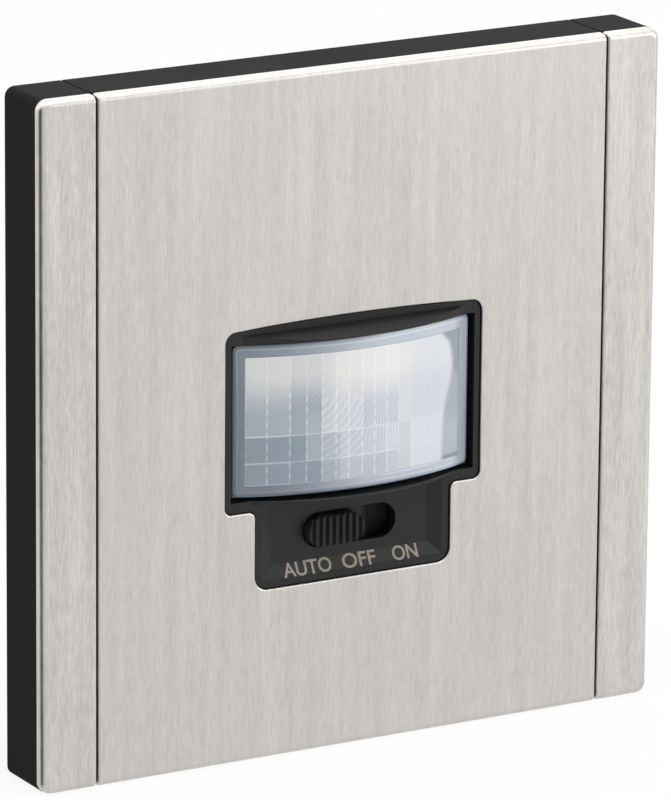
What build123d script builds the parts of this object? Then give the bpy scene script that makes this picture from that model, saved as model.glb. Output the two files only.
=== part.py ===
from build123d import *
import math
import os

# Motion sensor light switch, in millimetres. +Z is up and the front faces -Y.
# The origin is the centre of the plate on the wall, midway between the two box screws.
# A height is measured from the wall towards the room, so whatever sits inside the
# wall box has a height below zero.

os.makedirs("parts", exist_ok=True)

# Clearances and the overrun of every cut
overrun = 1.0
seat_gap = 0.05
part_gap = 0.3
running_gap = 0.1
shaft_gap = 0.05

# Wall plate
plate_size = 86.0
plate_depth = 9.6
plate_corner = 1.25
strip_width = 7.44
seam_gap = 0.22

# Steel skins
skin_thickness = 0.6
skin_return = 1.5
skin_bend = 0.8
skin_corner = 1.4
skin_seam_edge = 0.3

# Plastic carriers behind the skins
carrier_face = 1.6
carrier_skirt = 1.5
carrier_rib = 1.2
carrier_rib_depth = 1.0

# Snap hooks of the cover and the strips
hook_width = 8.0
hook_thickness = 1.4
hook_barb = 0.7
hook_tip_height = 0.4
hook_barb_height = 1.3
cover_hook_x = 16.0
cover_hook_edge = 5.2
strip_hook_z = 26.0
strip_hook_edge = 3.1

# T-shaped window in the steel
window_half_width = 17.98
window_low_half_width = 13.77
window_top = 11.55
window_bow = 0.48
window_shoulder = 11.28
window_bottom = 21.37
window_corner = 1.45
window_low_corner = 1.8
window_shoulder_corner = 0.95
window_notch_corner = 0.9
window_edge = 0.2

# Mounting frame and its box screws
frame_thickness = 3.0
frame_corner = 2.0
frame_rib = 1.2
screw_spacing = 60.3
screw_slot_width = 4.4
screw_slot_length = 7.0
screw_head_radius = 5.6

# Sensor bezel
bezel_gap = 0.06
bezel_drop = 0.3
bezel_flange = 1.5
bezel_flange_corner = 1.5
bezel_edge = 0.15
rim_width = 0.85
opening_gap = 0.55
peg_radius = 0.8
peg_length = 1.4
peg_top_x = 12.0
peg_low_x = 10.0

# Fresnel lens
lens_half_width = 16.58
lens_half_height = 9.35
lens_radius = 40.0
lens_proud = 2.45
lens_wall = 0.8
lens_flange = 1.4
lens_flange_thickness = 0.75
lens_edge = 0.5
retainer_thickness = 0.9
retainer_rim = 3.0

# Brow and sill round the lens
brow_lip = 0.35
brow_rise = 1.1
brow_slope = 0.85
sill_half_width = 14.3
sill_lip = 1.05
sill_height = 0.35
sill_edge = 0.15
sill_fall = 1.35

# Dish of the switch
dish_depth = 0.8
dish_half_width = 12.75
dish_side_slope = 1.75
dish_bottom = 20.25
dish_bottom_slope = 1.55
dish_floor = 1.3
knob_cavity_half_width = 12.5
knob_cavity_wall = 1.2

# Knob and its slot
slot_length = 13.15
slot_width = 4.5
slot_centre = 15.08
knob_length = 7.9
knob_width = 3.8
knob_proud = 1.3
knob_travel = 4.8
knob_groove_count = 8
knob_groove_pitch = 0.93
knob_groove_width = 0.46
knob_groove_depth = 0.55
knob_rib_edge = 0.18
knob_edge = 0.25
skirt_length = 18.8
skirt_height = 5.2
skirt_thickness = 1.8
skirt_fall = 1.5
skirt_ramp = 2.7
prong_thickness = 1.1
prong_width = 2.4

# Slide switch under the knob
slider_body_length = 11.0
slider_body_width = 5.0
slider_body_height = 4.2
slider_wall = 1.0
slider_post = 1.6
slider_post_width = 1.5
slider_post_height = 1.5
slider_base_length = 3.4
slider_base_thickness = 1.2

# Module front plate
module_side_margin = 2.3
module_end_margin = 5.0
module_corner = 3.0
module_thickness = 1.6
sensor_window_width = 28.0
sensor_window_height = 16.0
rail_width = 1.0
rail_place = 2.0

# Rear housing
housing_width = 47.0
housing_height = 50.0
housing_depth = 26.0
housing_corner = 3.0
housing_edge = 1.0
housing_wall = 1.8
post_radius = 2.6
post_inset = 2.3
ledge_depth = 1.5
ledge_width = 2.4
ledge_z = 8.0
floor_post_radius = 2.0
floor_post_inset = 4.5
floor_post_drop = 5.2
floor_post_rise = 4.0

# Small screws of the module
screw_radius = 0.95
screw_length = 6.0
frame_screw_length = 3.6
head_radius = 2.1
head_height = 1.3
head_slot = 0.6
frame_screw_x = 18.0
frame_screw_step = 2.8

# Boards
board_thickness = 1.6
sensor_board_height = -2.0
contact_foot_depth = 0.4
power_board_gap = 0.7
terminal_board_gap = 3.0
board_notch_corner = 0.6

# Sensing parts on the front board
pyro_radius = 4.1
pyro_flange_radius = 4.6
pyro_flange_thickness = 0.6
pyro_height = 4.6
pyro_edge = 0.5
pyro_window_width = 4.0
pyro_window_height = 3.0
pyro_window_depth = 0.2
small_part_x = 10.5
small_part_z = 4.5
light_sensor_radius = 2.5
light_sensor_height = 2.2
light_sensor_edge = 0.55
lamp_radius = 1.5
lamp_height = 3.6
lamp_collar = 0.4
lamp_dome = 0.8
chip_length = 5.0
chip_width = 4.0
chip_height = 1.5
chip_leg = 0.4
chip_leg_reach = 1.0
chip_leg_pitch = 1.27
chip_leg_count = 4
chip_x = 10.5
chip_drop = 7.4

# Trimmers
trimmer_post_step = 1.6
trimmer_post_gap = 0.2
trimmer_size = 5.0
trimmer_height = 2.4
trimmer_well_depth = 1.2
trimmer_rotor_radius = 1.9
trimmer_rotor_height = 1.8
trimmer_hub_radius = 0.8
trimmer_hub_length = 0.8
trimmer_slot_width = 0.6
trimmer_slot_depth = 0.7
trimmer_access_radius = 2.4

# Parts on the rear board
relay_width = 10.0
relay_length = 20.0
relay_height_share = 0.85
relay_inset = 7.5
relay_drop = 4.2
film_width = 13.0
film_thickness = 6.0
film_height_share = 0.78
film_inset = 11.5
film_drop = 8.4
bulk_radius = 4.0
bulk_height_share = 0.75
bulk_groove_height = 1.9
bulk_x = 1.8
bulk_drop = 17.9
varistor_radius = 3.6
varistor_thickness = 2.6
varistor_x = 3.3
varistor_rise = 3.8
choke_radius = 3.0
choke_core_radius = 1.8
choke_height = 7.0
choke_flange = 1.2
choke_inset = 6.0
choke_drop = 18.0
fuse_radius = 1.7
fuse_height = 7.0
fuse_inset = 7.5
fuse_rise = 4.2
component_edge = 0.5
header_pin = 0.64
header_pitch = 2.54
header_count = 5
header_body = 2.5
header_drop = 2.7

# Terminals
terminal_count = 3
terminal_pitch = 10.0
terminal_wall = 1.2
cage_width = 6.6
cage_depth = 6.0
cage_wall = 0.9
cage_travel = 2.4
cage_gap = 0.2
wire_room = 4.8
wire_port = 5.0
contact_width = 3.6
contact_thickness = 1.0
terminal_screw_radius = 1.75
terminal_head_radius = 2.8
terminal_head_height = 2.2
terminal_head_sink = 0.5
terminal_head_slot = 0.8
terminal_seat = 1.0
block_wall = 1.6
block_rib = 1.5
contact_foot = 1.2

# Heights and widths that follow from the sizes above
cover_width = plate_size - 2 * (strip_width + seam_gap)
strip_inner = cover_width / 2 + seam_gap
carrier_front = plate_depth - skin_thickness - seat_gap
carrier_back = carrier_front - carrier_face
carrier_step = plate_depth - skin_return - seat_gap
carrier_inset = skin_thickness + seat_gap
frame_size = plate_size - 2 * (carrier_skirt + part_gap)
cover_hook_z = plate_size / 2 - cover_hook_edge
strip_hook_x = plate_size / 2 - strip_hook_edge
cover_rib_place_x = (cover_width / 2 - carrier_skirt + window_half_width + bezel_flange) / 2
cover_rib_place_z = (plate_size / 2 - carrier_skirt + window_bottom + bezel_flange) / 2
module_width = housing_width + 2 * module_side_margin
module_height = housing_height + 2 * module_end_margin
frame_rib_place = module_height / 2 + part_gap + frame_rib / 2
frame_screw_z = housing_height / 2 + frame_screw_step
module_back = frame_thickness + seat_gap
module_top = module_back + module_thickness
bezel_back = module_top + seat_gap
bezel_rim = plate_depth - bezel_drop
bezel_shoulder = carrier_back - part_gap
lens_apex = plate_depth + lens_proud
opening_half_width = window_half_width - bezel_gap - rim_width
opening_half_height = lens_half_height + opening_gap
retainer_back = bezel_back + seat_gap
retainer_front = retainer_back + retainer_thickness
lens_back = retainer_front + seat_gap
lens_flange_front = lens_back + lens_flange_thickness
lens_cavity_half_width = lens_half_width + lens_flange + part_gap
lens_cavity_half_height = lens_half_height + lens_flange + part_gap
sill_bottom = opening_half_height + sill_height
dish_height = bezel_rim - dish_depth
dish_back = dish_height - dish_floor
knob_cavity_top = lens_cavity_half_height + knob_cavity_wall
skirt_front = dish_back - running_gap
skirt_back = skirt_front - skirt_thickness
knob_front = dish_height + knob_proud
knob_rest_x = -knob_travel / 2
slider_front = sensor_board_height + seat_gap + slider_body_height
slider_post_front = slider_front + slider_post_height
sensor_board_back = sensor_board_height - board_thickness
housing_inner_width = housing_width - 2 * housing_wall
housing_inner_height = housing_height - 2 * housing_wall
post_x = housing_inner_width / 2 - post_inset
post_z = housing_inner_height / 2 - post_inset
trimmer_x = post_x - trimmer_post_step
trimmer_z = post_z - post_radius - trimmer_post_gap - trimmer_size / 2
board_half_width = housing_inner_width / 2 - part_gap
board_half_height = housing_inner_height / 2 - part_gap
chip_z = board_half_height - chip_drop
housing_floor = -housing_depth + housing_wall
head_top = -housing_depth + terminal_head_sink
head_bottom = head_top + terminal_head_height
seat_front = head_bottom + running_gap + terminal_seat
cage_rear = seat_front + cage_gap + cage_travel
contact_back = cage_rear + cage_wall + running_gap
contact_front = contact_back + contact_thickness
power_board_height = contact_back - contact_foot_depth
power_board_back = power_board_height - board_thickness
component_base = power_board_height + seat_gap
component_room = sensor_board_back - component_base
cage_front = contact_front + wire_room + cage_wall
block_front = cage_front + cage_gap + terminal_wall
block_half_width = terminal_count * terminal_pitch / 2 + block_rib
cavity_width = cage_width + 2 * part_gap
cavity_depth = cage_depth + 2 * part_gap
block_low = -housing_height / 2
cavity_low = block_low + terminal_wall
cage_centre_z = cavity_low + cavity_depth / 2
block_high = cavity_low + cavity_depth + block_wall
power_board_low = -block_high - terminal_board_gap
power_board_half_width = housing_inner_width / 2 - ledge_depth - power_board_gap
floor_post_x = power_board_half_width - floor_post_inset
floor_post_high_z = housing_inner_height / 2 - floor_post_drop
floor_post_low_z = power_board_low - floor_post_rise
relay_x = power_board_half_width - relay_inset
relay_z = board_half_height - relay_drop - relay_length / 2
relay_height = relay_height_share * component_room
film_x = power_board_half_width - film_inset
film_z = board_half_height - film_drop
film_height = film_height_share * component_room
bulk_z = board_half_height - bulk_drop
bulk_height = bulk_height_share * component_room
varistor_z = power_board_low - varistor_rise
choke_x = power_board_half_width - choke_inset
choke_z = board_half_height - choke_drop
fuse_x = power_board_half_width - fuse_inset
fuse_z = power_board_low - fuse_rise
header_z = board_half_height - header_drop
terminal_places = [(number - (terminal_count - 1) / 2) * terminal_pitch for number in range(terminal_count)]
terminal_names = ["live", "neutral", "load"]


def room_plane(height):
    """A plane parallel to the wall, at a height towards the room."""
    return Plane.XZ.offset(height)


def finish(part, name):
    """Label a finished piece and write it."""
    part.label = name
    export_step(part, f"parts/{name}.step")


def window_sketch(inset):
    """The T-shaped window drawn in by an inset: wide round the lens, narrow round the switch."""
    wide = window_half_width - inset
    narrow = window_low_half_width - inset
    top = window_top - inset
    shoulder = inset - window_shoulder
    bottom = inset - window_bottom
    with BuildSketch() as window:
        with BuildLine():
            ThreePointArc((-wide, top), (0, top + window_bow), (wide, top))
            Polyline(
                (wide, top),
                (wide, shoulder),
                (narrow, shoulder),
                (narrow, bottom),
                (-narrow, bottom),
                (-narrow, shoulder),
                (-wide, shoulder),
                (-wide, top),
            )
        make_face()
        notches = window.vertices().sort_by(lambda corner: abs(corner.X))[:4].sort_by(Axis.Y)[2:]
        fillet(notches, window_notch_corner + inset)
        fillet(window.vertices().sort_by(Axis.Y)[:2], window_low_corner - inset)
        wide_corners = window.vertices().sort_by(lambda corner: abs(corner.X))[-4:].sort_by(Axis.Y)
        fillet(wide_corners[2:], window_corner - inset)
        wide_corners = window.vertices().group_by(lambda corner: abs(corner.X))[-1].sort_by(Axis.Y)
        fillet(wide_corners[:2], window_shoulder_corner - inset)
    return window.sketch


def plan_arc_profile(half_width, back, apex, radius):
    """Plan of a body whose front is an arc about a vertical axis, from a flat back to its apex."""
    sag = radius - math.sqrt(radius**2 - half_width**2)
    with BuildSketch() as plan:
        with BuildLine():
            ThreePointArc((-half_width, sag - apex), (0, -apex), (half_width, sag - apex))
            Polyline(
                (half_width, sag - apex),
                (half_width, -back),
                (-half_width, -back),
                (-half_width, sag - apex),
            )
        make_face()
    return plan.sketch


def snap_hook():
    """A flat leg on the back of a carrier's face, with a barb on its upper side."""
    barb_top = hook_tip_height + hook_barb_height
    with BuildPart() as hook:
        with BuildSketch(Plane.YZ):
            with BuildLine():
                Polyline(
                    (-carrier_back, 0),
                    (-hook_tip_height, 0),
                    (-hook_tip_height, hook_thickness),
                    (-(hook_tip_height + barb_top) / 2, hook_thickness + hook_barb),
                    (-barb_top, hook_thickness + hook_barb),
                    (-barb_top, hook_thickness),
                    (-carrier_back, hook_thickness),
                    close=True,
                )
            make_face()
        extrude(amount=hook_width / 2, both=True)
    return hook.part


def front_edges(faces):
    """The edges round some faces of a skin, but for those on its back."""
    return faces.edges().filter_by(lambda edge: edge.center().Y < skin_return - plate_depth - seat_gap)


window_open = window_sketch(0)
window_filled = window_sketch(bezel_gap)
hook_part = snap_hook()

# Cover plate: the steel sheet in the middle, folded back over its top and bottom edges
with BuildPart() as cover_plate:
    with BuildSketch(room_plane(plate_depth - skin_return)):
        Rectangle(cover_width, plate_size)
    extrude(amount=skin_return)
    cover_bends = cover_plate.faces().sort_by(Axis.Y)[0].edges().filter_by(Axis.X)
    fillet(cover_bends, skin_bend)
    cover_ends = cover_plate.faces().filter_by(Axis.X)
    fillet(front_edges(cover_ends), skin_seam_edge)
    with BuildSketch(room_plane(plate_depth - skin_return - overrun)):
        Rectangle(cover_width + 2 * overrun, plate_size - 2 * skin_thickness)
    extrude(amount=skin_return + overrun - skin_thickness, mode=Mode.SUBTRACT)
    with BuildSketch(room_plane(plate_depth - skin_return)):
        add(window_open)
    extrude(amount=skin_return + overrun, mode=Mode.SUBTRACT)
    fillet(cover_plate.faces().sort_by(Axis.Y)[0].inner_wires()[0].edges(), window_edge)
finish(cover_plate.part, "cover_plate")

# Cover carrier: the black shell behind that sheet, with skirts, ribs and four snap hooks
with BuildPart() as cover_carrier:
    with BuildSketch(room_plane(part_gap)):
        Rectangle(cover_width, plate_size)
    extrude(amount=carrier_step - part_gap)
    with BuildSketch(room_plane(carrier_step)):
        Rectangle(cover_width, plate_size - 2 * carrier_inset)
    extrude(amount=carrier_front - carrier_step)
    with BuildSketch(room_plane(0)):
        Rectangle(cover_width - 2 * carrier_skirt, plate_size - 2 * carrier_skirt)
    extrude(amount=carrier_back, mode=Mode.SUBTRACT)
    with BuildSketch(room_plane(0)):
        Rectangle(cover_width + 2 * overrun, plate_size - 2 * carrier_skirt)
    extrude(amount=frame_thickness + part_gap, mode=Mode.SUBTRACT)
    with BuildSketch(room_plane(carrier_back - carrier_rib_depth)):
        with GridLocations(2 * cover_rib_place_x, 0, 2, 1):
            Rectangle(carrier_rib, plate_size - 2 * carrier_skirt)
        with GridLocations(0, 2 * cover_rib_place_z, 1, 2):
            Rectangle(cover_width - 2 * carrier_skirt, carrier_rib)
    extrude(amount=carrier_rib_depth)
    with Locations((-cover_hook_x, 0, cover_hook_z), (cover_hook_x, 0, cover_hook_z)):
        add(hook_part)
    with Locations((-cover_hook_x, 0, -cover_hook_z), (cover_hook_x, 0, -cover_hook_z)):
        add(hook_part, rotation=(0, 180, 0))
    with BuildSketch(room_plane(0)):
        add(window_open)
    extrude(amount=plate_depth, mode=Mode.SUBTRACT)
finish(cover_carrier.part, "cover_carrier")


def strip_outline(inset, side):
    """A side strip's front outline; an inset draws in its outer side and its ends."""
    width = strip_width - inset
    height = plate_size - 2 * inset
    with BuildSketch() as outline:
        with Locations((side * (strip_inner + width / 2), 0)):
            Rectangle(width, height)
        outer = outline.vertices().sort_by(lambda corner: abs(corner.X))[-2:]
        fillet(outer, skin_corner - inset)
    return outline.sketch


def strip_body_outline(side):
    """The outline of a side strip's plastic body, whose outer corners are rounder."""
    with BuildSketch() as outline:
        with Locations((side * (strip_inner + strip_width / 2), 0)):
            Rectangle(strip_width, plate_size)
        outer = outline.vertices().sort_by(lambda corner: abs(corner.X))[-2:]
        fillet(outer, plate_corner)
    return outline.sketch


def inner_strip(width_from, width_to, height):
    """A plain rectangle of a side strip, between two distances from the plate's centre line."""
    with BuildSketch() as room:
        with Locations(((width_from + width_to) / 2, 0)):
            Rectangle(abs(width_to - width_from), height)
    return room.sketch


# Side strips: a steel skin folded over the outer side and both ends, on a black channel
for side, side_name in ((-1, "left"), (1, "right")):
    skin_outline = strip_outline(0, side)
    skin_room = strip_outline(skin_thickness, side)
    skin_overcut = inner_strip(side * (strip_inner - overrun), side * strip_inner, plate_size - 2 * skin_thickness)
    with BuildPart() as trim_strip:
        with BuildSketch(room_plane(plate_depth - skin_return)):
            add(skin_outline)
        extrude(amount=skin_return)
        strip_front = trim_strip.faces().sort_by(Axis.Y)[0]
        strip_bends = strip_front.edges().sort_by(lambda edge: abs(edge.center().X))[1:]
        fillet(strip_bends, skin_bend)
        strip_end = trim_strip.faces().sort_by(lambda face: abs(face.center().X))[:1]
        fillet(front_edges(strip_end), skin_seam_edge)
        with BuildSketch(room_plane(plate_depth - skin_return - overrun)):
            add(skin_room)
            add(skin_overcut)
        extrude(amount=skin_return + overrun - skin_thickness, mode=Mode.SUBTRACT)
    finish(trim_strip.part, f"{side_name}_trim_strip")

    body_outline = strip_body_outline(side)
    body_step = strip_outline(carrier_inset, side)
    channel_half = plate_size / 2 - carrier_skirt
    channel = inner_strip(side * (strip_inner + carrier_skirt), side * channel_half, 2 * channel_half)
    frame_room = inner_strip(side * (strip_inner - overrun), side * channel_half, 2 * channel_half)
    with BuildPart() as trim_carrier:
        with BuildSketch(room_plane(part_gap)):
            add(body_outline)
        extrude(amount=carrier_step - part_gap)
        with BuildSketch(room_plane(carrier_step)):
            add(body_step)
        extrude(amount=carrier_front - carrier_step)
        with BuildSketch(room_plane(0)):
            add(channel)
        extrude(amount=carrier_back, mode=Mode.SUBTRACT)
        with BuildSketch(room_plane(0)):
            add(frame_room)
        extrude(amount=frame_thickness + part_gap, mode=Mode.SUBTRACT)
        with Locations((side * strip_hook_x, 0, -strip_hook_z), (side * strip_hook_x, 0, strip_hook_z)):
            add(hook_part, rotation=(0, -90 * side, 0))
    finish(trim_carrier.part, f"{side_name}_trim_carrier")

# Mounting frame: the flat plate on the wall box, with two slots for the box screws
ledge_height = hook_tip_height + hook_barb_height + running_gap
hook_room = hook_thickness + 2 * part_gap
barb_room = hook_room + hook_barb
hook_room_width = hook_width + 2 * part_gap
with BuildPart() as mounting_frame:
    with BuildSketch(room_plane(0)):
        RectangleRounded(frame_size, frame_size, frame_corner)
        Rectangle(housing_width + 2 * part_gap, housing_height + 2 * part_gap, mode=Mode.SUBTRACT)
        with GridLocations(screw_spacing, 0, 2, 1):
            SlotOverall(screw_slot_length, screw_slot_width, mode=Mode.SUBTRACT)
    extrude(amount=frame_thickness)
    with BuildSketch(room_plane(frame_thickness)):
        with GridLocations(0, 2 * frame_rib_place, 1, 2):
            Rectangle(2 * (cover_hook_x - part_gap) - hook_room_width, frame_rib)
    extrude(amount=module_thickness)
    with BuildSketch(room_plane(0)):
        for end in (-1, 1):
            with GridLocations(2 * cover_hook_x, 0, 2, 1):
                with Locations((0, end * (cover_hook_z - part_gap + hook_room / 2))):
                    Rectangle(hook_room_width, hook_room)
            with GridLocations(0, 2 * strip_hook_z, 1, 2):
                with Locations((end * (strip_hook_x + part_gap - hook_room / 2), 0)):
                    Rectangle(hook_room, hook_room_width)
    extrude(amount=frame_thickness, mode=Mode.SUBTRACT)
    with BuildSketch(room_plane(0)):
        for end in (-1, 1):
            with GridLocations(2 * cover_hook_x, 0, 2, 1):
                with Locations((0, end * (cover_hook_z - part_gap + barb_room / 2))):
                    Rectangle(hook_room_width, barb_room)
            with GridLocations(0, 2 * strip_hook_z, 1, 2):
                with Locations((end * (strip_hook_x + part_gap - barb_room / 2), 0)):
                    Rectangle(barb_room, hook_room_width)
    extrude(amount=ledge_height, mode=Mode.SUBTRACT)
    with BuildSketch(room_plane(module_top - frame_screw_length)):
        with GridLocations(2 * frame_screw_x, 2 * frame_screw_z, 2, 2):
            Circle(screw_radius + shaft_gap)
    extrude(amount=frame_screw_length, mode=Mode.SUBTRACT)
finish(mounting_frame.part, "mounting_frame")

# Module front: the plate that closes the housing and carries the bezel
with BuildPart() as module_front:
    with BuildSketch(room_plane(module_back)):
        RectangleRounded(module_width, module_height, module_corner)
        with GridLocations(screw_spacing, 0, 2, 1):
            Circle(screw_head_radius, mode=Mode.SUBTRACT)
        Rectangle(sensor_window_width, sensor_window_height, mode=Mode.SUBTRACT)
        prong_sweep = slider_post + 2 * (running_gap + prong_thickness + part_gap) + knob_travel
        with Locations((0, -slot_centre)):
            Rectangle(prong_sweep, prong_width + 2 * part_gap, mode=Mode.SUBTRACT)
        with Locations((-trimmer_x, -trimmer_z), (trimmer_x, -trimmer_z)):
            Circle(trimmer_access_radius, mode=Mode.SUBTRACT)
        with GridLocations(2 * post_x, 2 * post_z, 2, 2):
            Circle(screw_radius + part_gap, mode=Mode.SUBTRACT)
        with GridLocations(2 * frame_screw_x, 2 * frame_screw_z, 2, 2):
            Circle(screw_radius + part_gap, mode=Mode.SUBTRACT)
        peg_top_z = (lens_cavity_half_height + window_top + bezel_flange) / 2
        peg_low_z = window_bottom + bezel_flange - peg_radius * 2
        with GridLocations(2 * peg_top_x, 0, 2, 1):
            with Locations((0, peg_top_z)):
                Circle(peg_radius + shaft_gap, mode=Mode.SUBTRACT)
        with GridLocations(2 * peg_low_x, 0, 2, 1):
            with Locations((0, -peg_low_z)):
                Circle(peg_radius + shaft_gap, mode=Mode.SUBTRACT)
    extrude(amount=module_thickness)
    with BuildSketch(room_plane(module_top)):
        with Locations((0, -slot_centre)):
            with GridLocations(0, 2 * rail_place, 1, 2):
                Rectangle(skirt_length + knob_travel, rail_width)
    extrude(amount=skirt_back - running_gap - module_top)
finish(module_front.part, "module_front")

# Sensor bezel: rim, bowed brow and sill, and the dish with the knob's slot
sill_apex = lens_apex + sill_lip
sill_rise = sill_apex - bezel_rim
sill_radius = (sill_half_width**2 + sill_rise**2) / (2 * sill_rise)
sill_root = bezel_rim - overrun
sill_root_half_width = math.sqrt(sill_radius**2 - (sill_radius - sill_apex + sill_root) ** 2)
sill_plan = plan_arc_profile(sill_root_half_width, sill_root, sill_apex, sill_radius)
with BuildPart() as sill:
    with BuildSketch(Plane.XY.offset(-opening_half_height)):
        add(sill_plan)
    extrude(amount=-sill_height)
    sill_front = sill.faces().sort_by(Axis.Z)[-1].edges().filter_by(GeomType.CIRCLE)
    fillet(sill_front, sill_edge)
    with BuildSketch(Plane.XY.offset(-sill_bottom)):
        add(sill_plan)
    sill_depth = sill_apex - dish_height + dish_floor / 2
    extrude(amount=math.hypot(sill_depth, sill_fall), dir=(0, sill_depth, -sill_fall))
    with BuildSketch(room_plane(dish_height - dish_floor / 2 - plate_depth)):
        with Locations((0, -sill_bottom)):
            Rectangle(2 * plate_size, plate_size)
    extrude(amount=plate_depth, mode=Mode.SUBTRACT)

brow_apex = lens_apex + brow_lip
brow_radius = lens_radius + brow_lip
brow_root = bezel_rim - overrun
brow_half_width = math.sqrt(brow_radius**2 - (brow_radius - brow_apex + brow_root) ** 2)
brow_top = opening_half_height + brow_rise
brow_plan = plan_arc_profile(brow_half_width, brow_root - overrun, brow_apex, brow_radius)
with BuildPart() as brow:
    with BuildSketch(Plane.XY):
        add(brow_plan)
    extrude(amount=brow_top)
    with BuildSketch(Plane.YZ):
        with BuildLine():
            Polyline(
                (-bezel_rim, brow_top),
                (-brow_apex - overrun, brow_top - brow_slope * (brow_apex + overrun - bezel_rim) / lens_proud),
                (-brow_apex - overrun, brow_top + overrun),
                (-bezel_rim, brow_top + overrun),
                close=True,
            )
        make_face()
    extrude(amount=window_half_width, both=True, mode=Mode.SUBTRACT)

with BuildPart() as sensor_bezel:
    with BuildSketch(room_plane(bezel_back)):
        with Locations((0, (window_top - window_shoulder) / 2)):
            RectangleRounded(
                2 * (window_half_width + bezel_flange),
                window_top + window_shoulder + 2 * bezel_flange,
                bezel_flange_corner,
            )
        with Locations((0, -(window_bottom + bezel_flange) / 2)):
            RectangleRounded(
                2 * (window_low_half_width + bezel_flange),
                window_bottom + bezel_flange,
                bezel_flange_corner,
            )
    extrude(amount=bezel_shoulder - bezel_back)
    with BuildSketch(room_plane(bezel_back)):
        add(window_filled)
    extrude(amount=bezel_rim - bezel_back)
    fillet(sensor_bezel.faces().sort_by(Axis.Y)[0].edges(), bezel_edge)
    add(brow.part)
    dish_floor_half_width = dish_half_width - dish_side_slope
    dish_floor_bottom = dish_bottom - dish_bottom_slope
    with BuildSketch(room_plane(dish_height)):
        with Locations((0, -(sill_bottom + dish_floor_bottom) / 2)):
            Rectangle(2 * dish_floor_half_width, dish_floor_bottom - sill_bottom)
    with BuildSketch(room_plane(bezel_rim)):
        with Locations((0, -(sill_bottom + dish_bottom) / 2)):
            Rectangle(2 * dish_half_width, dish_bottom - sill_bottom)
    loft(ruled=True, mode=Mode.SUBTRACT)
    add(sill.part)
    with BuildSketch(room_plane(bezel_back - overrun)):
        Rectangle(2 * opening_half_width, 2 * opening_half_height)
    extrude(amount=brow_apex + overrun, mode=Mode.SUBTRACT)
    with BuildSketch(room_plane(bezel_back - overrun)):
        Rectangle(2 * lens_cavity_half_width, 2 * lens_cavity_half_height)
    extrude(amount=lens_flange_front + seat_gap - bezel_back + overrun, mode=Mode.SUBTRACT)
    with BuildSketch(room_plane(bezel_back - overrun)):
        cavity_bottom = slot_centre + skirt_height / 2 + knob_cavity_wall
        with Locations((0, -(knob_cavity_top + cavity_bottom) / 2)):
            Rectangle(2 * knob_cavity_half_width, cavity_bottom - knob_cavity_top)
    extrude(amount=dish_back - bezel_back + overrun, mode=Mode.SUBTRACT)
    with BuildSketch(room_plane(bezel_back)):
        with Locations((0, -slot_centre)):
            SlotOverall(slot_length, slot_width)
    extrude(amount=plate_depth - bezel_back, mode=Mode.SUBTRACT)
    with BuildSketch(room_plane(bezel_back - peg_length)):
        with Locations((-peg_top_x, peg_top_z), (peg_top_x, peg_top_z)):
            Circle(peg_radius)
        with Locations((-peg_low_x, -peg_low_z), (peg_low_x, -peg_low_z)):
            Circle(peg_radius)
    extrude(amount=peg_length)
finish(sensor_bezel.part, "sensor_bezel")

# Fresnel lens: a thin moulded cup with a front bowed about a vertical axis
lens_outer_plan = plan_arc_profile(lens_half_width, lens_back, lens_apex, lens_radius)
lens_inner_plan = plan_arc_profile(
    lens_half_width - lens_wall, lens_back - overrun, lens_apex - lens_wall, lens_radius - lens_wall
)
with BuildPart() as fresnel_lens:
    with BuildSketch(Plane.XY.offset(-lens_half_height)):
        add(lens_outer_plan)
    extrude(amount=2 * lens_half_height)
    front_corners = fresnel_lens.edges().filter_by(Axis.Z).sort_by(Axis.Y)[:2]
    fillet(front_corners, lens_edge)
    with BuildSketch(room_plane(lens_back)):
        Rectangle(2 * (lens_half_width + lens_flange), 2 * (lens_half_height + lens_flange))
    extrude(amount=lens_flange_thickness)
    with BuildSketch(Plane.XY.offset(lens_wall - lens_half_height)):
        add(lens_inner_plan)
    extrude(amount=2 * (lens_half_height - lens_wall), mode=Mode.SUBTRACT)
finish(fresnel_lens.part, "fresnel_lens")

# Lens retainer: the ring that holds the lens's flange in the bezel
with BuildPart() as lens_retainer:
    with BuildSketch(room_plane(retainer_back)):
        ring_half_width = lens_half_width + lens_flange
        ring_half_height = lens_half_height + lens_flange
        Rectangle(2 * ring_half_width, 2 * ring_half_height)
        Rectangle(
            2 * (ring_half_width - retainer_rim), 2 * (ring_half_height - retainer_rim), mode=Mode.SUBTRACT
        )
    extrude(amount=retainer_thickness)
finish(lens_retainer.part, "lens_retainer")

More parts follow.
